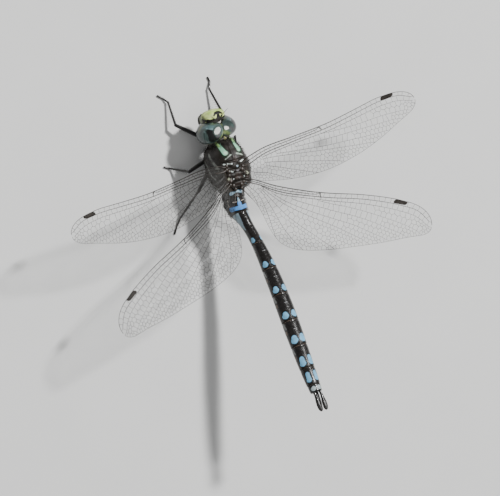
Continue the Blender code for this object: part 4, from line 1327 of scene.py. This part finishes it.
# ---- wings ----
class WingPlan:
    """Flat plan of one wing: outward places X and forward places Y in millimetres."""

    def __init__(self, pair, side):
        self.length, self.chord = WING_LENGTH[pair], WING_CHORD[pair]
        self.hinge, self.out, self.rear, self.normal = wing_frame(pair, side)
        self.parts = np.linspace(0, 1, 1201)
        self.lead, self.trail = (
            np.array([edge_offset(edge, u) for u in self.parts]) * self.chord
            for edge in WING_EDGES[pair])
        self.names = ["costa"] + [name for name, _ in VEINS[pair]] + ["margin"]
        self.reach = [(0.0, 1.0)] + [(stops[0][0], stops[-1][0]) for _, stops in VEINS[pair]]
        self.reach.append((0.0, 1.0))
        self.shares = [np.zeros_like(self.parts)]
        for _, stops in VEINS[pair]:
            share = np.array([smooth_read(stops, u)[0] for u in self.parts])
            share = np.where(self.parts < stops[0][0], self.shares[-1], share)
            if stops[-1][1] in (0, 1):      # it follows the edge that it has reached
                share = np.where(self.parts > stops[-1][0], stops[-1][1], share)
            self.shares.append(np.clip(share, self.shares[-1], 1))
        self.shares.append(np.ones_like(self.parts))

    def edges(self, u):
        """Forward places of the leading and the trailing edge."""
        return np.interp(u, self.parts, self.lead), np.interp(u, self.parts, self.trail)

    def vein_share(self, index, u):
        """Share of the chord at which a long vein runs."""
        return np.interp(u, self.parts, self.shares[index])

    def flat(self, u, s):
        """Plan place of a part of the length and a share of the chord."""
        lead, trail = self.edges(u)
        return np.stack(np.broadcast_arrays(u * self.length, lead + (trail - lead) * s), -1)

    def raised(self, flat, lift=0.0):
        """The plan place on the pleated wing."""
        flat = np.asarray(flat, float)
        u = flat[..., 0] / self.length
        lead, trail = self.edges(u)
        s = np.clip((lead - flat[..., 1]) / np.maximum(lead - trail, 1e-3), 0, 1)
        pleat = 0.13 * np.cos(2 * math.pi * s / 0.11) * np.exp(-5 * s) * (1 - step(u, 0.5, 1))
        pleat += 0.05 * np.cos(2 * math.pi * s / 0.21 + 1.0) * step(s, 0.05, 0.3)
        lift = np.asarray(pleat * step(u, 0.0, 0.08) + lift)
        return (self.hinge + self.out * (flat[..., :1] - HINGE_INSET)
                - self.rear * flat[..., 1:] + self.normal * lift[..., None])


WING_START, WING_END = 0.012, 0.9995      # parts of the length that are drawn
SNAP_REACH = 2.2                          # how far a cell's corner may move to a long vein
CROSS_VEINS = (0.05, 3.2)                 # shortest and longest cross vein
MARGIN_SEEDS = (0.3, 0.55, 0.35)          # first, spacing and distance outside the wing


def vein_lines(plan):
    """Plan places and radii of the long veins, one run for each name."""
    lines, radii = [], []
    for index, name in enumerate(plan.names):
        start, end = plan.reach[index]
        start = max(start, WING_START if name != "margin" else 0.03)
        end = WING_END if name in ("costa", "margin") else end
        u = start + (end - start) * (1 - (1 - np.linspace(0, 1, 150)) ** (
            1.6 if end > 0.97 else 1.0))
        base = VEIN_RADII.get(name, 0.031 if name == "margin" else 0.043)
        sizes = base * (1 - 0.45 * step(u, 0.1, 0.95)) if name != "margin" else base + 0 * u
        lines.append(plan.flat(u, plan.vein_share(index, u)))
        radii.append(np.maximum(sizes, 0.05) if name == "costa" else sizes)
    return lines, radii


def cell_seeds(plan, lines, cell, seed):
    """Seeds of the cells, each with the number of its field between two long veins."""
    rng = np.random.default_rng(seed)
    seeds, fields = [], []
    for field in range(len(lines) - 1):
        along = 0.035 * plan.length
        while along < plan.length * 0.998:
            u = along / plan.length
            top, base = (plan.flat(u, plan.vein_share(field + k, u)) for k in (0, 1))
            width = top[1] - base[1]
            rear = step(plan.vein_share(field + 1, u), 0.55, 1.0)
            pitch = cell * (1.16 - 0.36 * rear) * (0.72 + 0.28 * step(u, 0.02, 0.2))
            pitch *= 1 - 0.18 * step(u, 0.85, 1.0)
            if width <= 0.16:
                along += pitch * 0.5
                continue
            rows = max(1, int(round(width / pitch)))
            for k in range(rows):
                at = top[1] - width * (k + 0.5) / rows
                shift = pitch * (0.5 if k % 2 else 0.0) * (rows > 1)
                jitter = rng.uniform(-0.13, 0.13, 2) * pitch * (rows > 1)
                x = along + shift + jitter[0]
                if x < plan.length * 0.997:
                    seeds.append((x, at + jitter[1] * min(width, 1)))
                    fields.append(field)
            if rows == 1:
                pitch *= 0.94 + 0.2 * rng.random()
            along += pitch
    first, spacing, outside = MARGIN_SEEDS
    for line, field, sign in ((lines[0], -1, 1), (lines[-1], len(lines) - 1, -1)):
        way = unit(np.gradient(line, axis=0))
        out = np.stack([-way[:, 1], way[:, 0]], 1) * sign
        gaps = np.linalg.norm(np.diff(line, axis=0), axis=1)
        lengths = np.concatenate([[0], np.cumsum(gaps)])
        for run in np.arange(first, lengths[-1], spacing):
            seeds.append(tuple(
                np.interp(run, lengths, line[:, k] + out[:, k] * outside) for k in (0, 1)))
            fields.append(field)
    return seeds, fields


def cell_corner(centre, owners, lines):
    """A corner of the net, and the long vein that it sits on where its fields differ."""
    if owners[0] == owners[-1]:
        return centre, None
    best, line, place = SNAP_REACH, None, None
    for index in range(max(owners[0] + 1, 0), min(owners[-1], len(lines) - 1) + 1):
        gaps = np.linalg.norm(lines[index] - centre, axis=1)
        near = int(gaps.argmin())
        if gaps[near] < best:
            best, line, place = gaps[near], index, lines[index][near]
    return place, line


def wing_net(plan):
    """Points, edges and radii of a wing's veins, long veins first."""
    settings = bpy.context.scene.darner_wings
    points, edges, radii = [], [], []
    lines, line_radii = vein_lines(plan)
    for line, sizes in zip(lines, line_radii):
        first = len(points)
        points.extend(plan.raised(line).tolist())
        radii.extend(sizes)
        edges.extend((k, k + 1) for k in range(first, len(points) - 1))

    seeds, fields = cell_seeds(plan, lines, settings.cell / MM, settings.seed)
    places, _, triangles, origin, _, _ = geometry.delaunay_2d_cdt(
        [Vector(place) for place in seeds], [], [], 0, 1e-5)
    places = np.array([tuple(place) for place in places])
    fields = [fields[source[0]] if source else -2 for source in origin]
    corners, shared, used = [], {}, {}
    for index, triangle in enumerate(triangles):
        corners.append(cell_corner(places[list(triangle)].mean(0),
                                   sorted(fields[k] for k in triangle), lines))
        for k in range(3):
            pair = tuple(sorted((triangle[k], triangle[(k + 1) % 3])))
            shared.setdefault(pair, []).append(index)
    for pair, owners in shared.items():
        if len(owners) < 2 or not all(0 <= fields[k] <= len(lines) - 2 for k in pair):
            continue
        (start, first), (end, second) = (corners[k] for k in owners)
        if start is None or end is None or (first is not None and first == second):
            continue
        if not CROSS_VEINS[0] <= np.linalg.norm(start - end) <= CROSS_VEINS[1]:
            continue
        for k in owners:
            if k not in used:
                used[k] = len(points)
                points.append(plan.raised(corners[k][0]).tolist())
                radii.append(settings.cross_radius / MM)
        edges.append(tuple(used[k] for k in owners))
    return points, edges, radii


def membrane_finish():
    """Clear, glossy wing skin with a faint brown tint towards its root."""
    material, wire, shader = new_material("wing_membrane", 0.22, IOR=1.25)
    place, parts = wire.marks()
    root = wire.ramp(parts[0], 1.2, 0.3)
    cover = wire.math("MULTIPLY", wire.ramp(wire.noise(place, 0.5, 3.0), 0.2, 0.8, 0.7, 1.4),
                      bpy.context.scene.darner_wings.cover)
    cover = wire.math("ADD", cover, wire.math("MULTIPLY", root, 0.02), clamp=True)
    wire.feed(shader, {
        "Base Color": wire.mix(root, shade((0.20, 0.20, 0.19)), shade((0.20, 0.15, 0.10))),
        "Alpha": cover, "Normal": wire.bump(wire.noise(place, 1.6, 2.0), 0.5, 0.05)})
    return material


def wing_skin(plan):
    """The clear skin of a wing: an upper and an under sheet with a closed rim."""
    u = np.concatenate([[WING_START], WING_START + (1 - WING_START) * (
        1 - (1 - np.linspace(0.01, 1, 139)) ** 1.35)])
    u[-1] = WING_END
    s = np.linspace(0, 1, 73) ** 1.25
    flats = plan.flat(u[:, None], s[None, :])
    rows, columns = flats.shape[:2]
    total = rows * columns
    index = np.arange(total).reshape(rows, columns)
    quads = np.stack([index[:-1, :-1], index[1:, :-1], index[1:, 1:],
                      index[:-1, 1:]], -1).reshape(-1, 4)
    rim = np.concatenate([index[0, :], index[1:, -1], index[-1, -2::-1], index[-2:0:-1, 0]])
    after = np.roll(rim, -1)
    faces = (quads.tolist() + (quads[:, ::-1] + total).tolist()
             + np.stack([after, rim, rim + total, after + total], 1).tolist())
    sheets = [plan.raised(flats, lift).reshape(-1, 3) for lift in (MEMBRANE_HALF, -MEMBRANE_HALF)]
    marks = np.concatenate([flats, np.zeros((rows, columns, 1))], -1)
    shell = Shell()
    shell.add(np.vstack(sheets), faces, np.vstack([marks.reshape(-1, 3)] * 2))
    return shell


def wing_mark(plan, start, end, top, base):
    """Rings of the thick dark mark near a wing's tip, slanted and rounded at its ends."""
    rings, slant = [], 0.012
    for t in np.linspace(0, 1, 24):
        ends = math.sqrt(max(1 - (2 * t - 1) ** 10, 0.02))
        u = start + (end - start) * t
        a, b = oval(turns_of(28), 0.5 * ends, 0.075 * ends, 3.0)
        share = (top + base) / 2 + (base - top) * a
        place = plan.raised(plan.flat(u - slant * (share - top) / (base - top), share))
        lift = (place - plan.raised(plan.flat(u, (top + base) / 2))) @ plan.normal
        rings.append(place - np.outer(lift, plan.normal) * 0.6 + np.outer(b, plan.normal))
    return rings


def wing_root(plan, pair):
    """Nodus, thick vein roots and hinge knobs of a wing."""
    root = Shell()
    nodus = plan.raised(plan.flat(
        NODUS[pair] + np.linspace(-0.004, 0.006, 6), np.linspace(0.0, 0.10, 6)))
    root.add(*tube(nodus, [0.10, 0.11, 0.10, 0.085, 0.075, 0.06], 12))
    u = np.linspace(-0.005, 0.075, 14)
    on_wing, off_wing = np.maximum(u, 0), np.minimum(u, 0)[:, None] * plan.length
    spread = step(u, -0.06, 0.05)
    for name, thick in (("costa", 0.20), ("radius", 0.22), ("media_rear", 0.16)):
        share = plan.vein_share(plan.names.index(name), on_wing)
        share = share * spread + 0.35 * (1 - spread)
        place = plan.raised(plan.flat(on_wing, share)) + plan.out * off_wing
        root.add(*tube(place, np.linspace(thick, 0.075, 14), 14))
    for share, out, size in (
            (0.05, -0.15, 0.42), (0.38, 0.12, 0.36), (0.62, -0.30, 0.44), (0.95, -0.10, 0.34)):
        place = plan.raised(plan.flat(0.0, share)) + plan.out * out
        root.add_rings(lobe(place, (size, size * 1.15, size * 0.85), 2.3, 16, 24))
    if pair == "hindwing":
        hem = plan.raised(plan.flat(np.linspace(0.006, 0.058, 12), 0.985))
        root.add(*tube(hem, 0.05 + 0.05 * np.sin(np.linspace(0.3, 2.9, 12)), 12))
    return root


def build_wings():
    """Four clear wings with long veins, a fine net, a nodus and a dark wing mark."""
    membrane = membrane_finish()
    vein = plate_material("vein_brown", bpy.context.scene.darner_colours.vein, roughness=0.45,
                          pits=5.0, bump=0.1, Specular_IOR_Level=0.2)
    stigma = plate_material("wing_mark_brown", (0.018, 0.014, 0.011), roughness=0.5,
                            Specular_IOR_Level=0.15)
    knob = plate_material("wing_root_brown", (0.026, 0.019, 0.014), roughness=0.4)
    for pair in ("forewing", "hindwing"):
        for side in ("left", "right"):
            plan, solid = WingPlan(pair, side), (f"{pair}_{side}",)
            make_piece(f"{pair}_skin_{side}", wing_skin(plan), membrane, solid)
            points, edges, radii = wing_net(plan)
            net = grow(f"{pair}_veins_{side}", "Vein tubes", points, edges,
                       {"radius": np.array(radii) * MM}, {"Sides": 6, "Finish": vein})
            settle(net, solid)
            skin_piece(f"{pair}_mark_{side}", [(wing_mark(plan, *STIGMA[pair]), None)],
                       stigma)
            make_piece(f"{pair}_root_{side}", wing_root(plan, pair), knob)


# ---- stage ----
FLOOR_REACH = 0.9                   # the stage's sizes are metres
CAMERA_AIM = (-3.90, 18.17, 0)      # millimetres in the insect's frame
CAMERA_AXES = (                     # right, up and back; it stands one metre back
    (-0.8913, 0.2556, 0.3746), (-0.2756, -0.9613, 0.0), (0.3601, -0.1033, 0.9272))
LAMPS = (                           # name, way, size, power; the key's is a setting
    ("key", (-0.467, -0.340, 0.817), 0.13, None), ("fill", (0.75, 0.25, 0.6), 0.9, 1.8),
    ("sky", (0.1, 0.1, 1.0), 1.2, 7.0))
LAMP_AIM, LAMP_DISTANCE = (0, 0.005, 0.01), 1.6
GLINT_COLOUR, GLINT_DISTANCE = (1.0, 0.98, 0.88), 0.5
GLINTS = (                          # side, way along the camera's axes, size, power
    ("left", (0.708, 0.272, 0.649), 0.62, 20.0), ("right", (0.565, -0.283, 0.775), 0.44, 13.0))
WORLD_COLOUR, WORLD_STRENGTH = (0.95, 0.97, 1.0, 1), 0.16


def add_lamp(name, way, place, size, power):
    """A soft square lamp at a place, that shines back along its way."""
    lamp = bpy.data.lights.new(name, "AREA")
    lamp.energy, lamp.size = power, size
    light = new_object(name, lamp)
    light.location = place
    light.rotation_mode = "QUATERNION"
    light.rotation_quaternion = way.to_track_quat("Z", "Y")
    return light


def build_stage():
    """Plain pale floor, soft lights, a pale world and the camera."""
    scene = bpy.context.scene
    settings = scene.darner_stage
    material, wire, shader = new_material("floor_pale", 0.75)
    cloud = wire.noise(wire.add("ShaderNodeTexCoord").outputs["Object"], 60.0, 5.0)
    wire.feed(shader, {"Base Color": wire.mix(
        cloud, shade(settings.floor, 0.96), shade(settings.floor, 1.04))})
    mesh = bpy.data.meshes.new("floor")
    mesh.from_pydata([(FLOOR_REACH * x, FLOOR_REACH * y, 0) for x, y in (
        (-1, -1), (1, -1), (1, 1), (-1, 1))], [], [(0, 1, 2, 3)])
    mesh.materials.append(material)
    new_object("floor", mesh)

    right, up, back = (Vector(axis) for axis in CAMERA_AXES)
    lens = bpy.data.cameras.new("camera")
    lens.lens, lens.sensor_width, lens.sensor_fit = settings.lens, 36, "HORIZONTAL"
    lens.clip_start, lens.clip_end = 0.01, 20
    camera = new_object("camera", lens)
    place = Vector(CAMERA_AIM) * MM + Vector(ORIGIN) + back
    rows = [(*row, at) for row, at in zip(zip(right, up, back), place)]
    camera.matrix_world = Matrix([*rows, (0, 0, 0, 1)])
    scene.camera = camera

    for name, way, size, power in LAMPS:
        way, power = Vector(way), power or settings.key
        place = Vector(LAMP_AIM) + way.normalized() * LAMP_DISTANCE
        add_lamp(name, way, place, size, power).visible_glossy = name == "key"
    bpy.data.objects["key"].light_linking.receiver_collection = lit_group("key_spares")
    for side, (across, rise, toward), size, power in GLINTS:
        way = right * across + up * rise + back * toward
        light = add_lamp("glint_" + side, way, way * GLINT_DISTANCE, size, power)
        light.data.shape, light.data.color = "DISK", GLINT_COLOUR
        light.light_linking.receiver_collection = lit_group("glint_" + side)
    world = bpy.data.worlds.new("studio")
    world.use_nodes = True
    background = world.node_tree.nodes["Background"].inputs
    background[0].default_value, background[1].default_value = WORLD_COLOUR, WORLD_STRENGTH
    scene.world = world


# ---- operators and panel ----
class DARNER_OT_stage(bpy.types.Operator):
    """Make the floor, the lights, the world and the camera"""

    bl_idname = "darner.stage"
    bl_label = "Stage"

    def execute(self, context):
        build_stage()
        return {"FINISHED"}


class DARNER_OT_head(bpy.types.Operator):
    """Make the head capsule, the face, the jaws and the crown"""

    bl_idname = "darner.head"
    bl_label = "Head and face"

    def execute(self, context):
        build_face()
        return {"FINISHED"}


class DARNER_OT_eyes(bpy.types.Operator):
    """Make the two compound eyes"""

    bl_idname = "darner.eyes"
    bl_label = "Eyes"

    def execute(self, context):
        build_eyes()
        return {"FINISHED"}


class DARNER_OT_feelers(bpy.types.Operator):
    """Make the two feelers"""

    bl_idname = "darner.feelers"
    bl_label = "Feelers"

    def execute(self, context):
        build_antennae()
        return {"FINISHED"}


class DARNER_OT_chest(bpy.types.Operator):
    """Make the neck, the collar and the chest"""

    bl_idname = "darner.chest"
    bl_label = "Neck and chest"

    def execute(self, context):
        build_neck()
        build_chest()
        return {"FINISHED"}


class DARNER_OT_abdomen(bpy.types.Operator):
    """Make the abdomen's ten rings"""

    bl_idname = "darner.abdomen"
    bl_label = "Abdomen"

    def execute(self, context):
        build_abdomen()
        return {"FINISHED"}


class DARNER_OT_tail(bpy.types.Operator):
    """Make the claspers and the lower tail plate"""

    bl_idname = "darner.tail"
    bl_label = "Tail"

    def execute(self, context):
        build_tail()
        return {"FINISHED"}


class DARNER_OT_legs(bpy.types.Operator):
    """Make the six legs"""

    bl_idname = "darner.legs"
    bl_label = "Legs"

    def execute(self, context):
        build_legs()
        return {"FINISHED"}


class DARNER_OT_down(bpy.types.Operator):
    """Make the fine down on the chest, the first rings and the face"""

    bl_idname = "darner.down"
    bl_label = "Down"

    def execute(self, context):
        build_down()
        return {"FINISHED"}


class DARNER_OT_wings(bpy.types.Operator):
    """Make the four wings with their net of veins"""

    bl_idname = "darner.wings"
    bl_label = "Wings"

    def execute(self, context):
        build_wings()
        return {"FINISHED"}


STEPS = ("stage", "head", "eyes", "feelers", "chest", "abdomen", "tail", "legs", "down", "wings")


class DARNER_PT_panel(bpy.types.Panel):
    """Buttons and settings of the darner"""

    bl_idname = "DARNER_PT_panel"
    bl_label = "Mosaic Darner"
    bl_space_type = "VIEW_3D"
    bl_region_type = "UI"
    bl_category = "Darner"

    def draw(self, context):
        for key in ("colours", "wings", "coat", "stage"):
            settings = getattr(context.scene, "darner_" + key)
            column = self.layout.column()
            for name in settings.__annotations__:
                column.prop(settings, name)
        for name in STEPS:
            self.layout.operator("darner." + name)


GROUPS = {"darner_colours": DarnerColours, "darner_wings": DarnerWings,
          "darner_coat": DarnerCoat, "darner_stage": DarnerStage}
CLASSES = (*GROUPS.values(), DARNER_OT_stage, DARNER_OT_head, DARNER_OT_eyes,
           DARNER_OT_feelers, DARNER_OT_chest, DARNER_OT_abdomen, DARNER_OT_tail,
           DARNER_OT_legs, DARNER_OT_down, DARNER_OT_wings, DARNER_PT_panel)


def register():
    """Register the classes and hang the settings on the scene."""
    for item in CLASSES:
        bpy.utils.register_class(item)
    for key, group in GROUPS.items():
        setattr(bpy.types.Scene, key, PointerProperty(type=group))


def unregister():
    """Take the settings and the classes away again."""
    for key in GROUPS:
        delattr(bpy.types.Scene, key)
    for item in reversed(CLASSES):
        bpy.utils.unregister_class(item)


def main():
    """Build the whole insect on its stage."""
    register()
    for name in STEPS:
        getattr(bpy.ops.darner, name)()


if __name__ == "__main__":
    main()
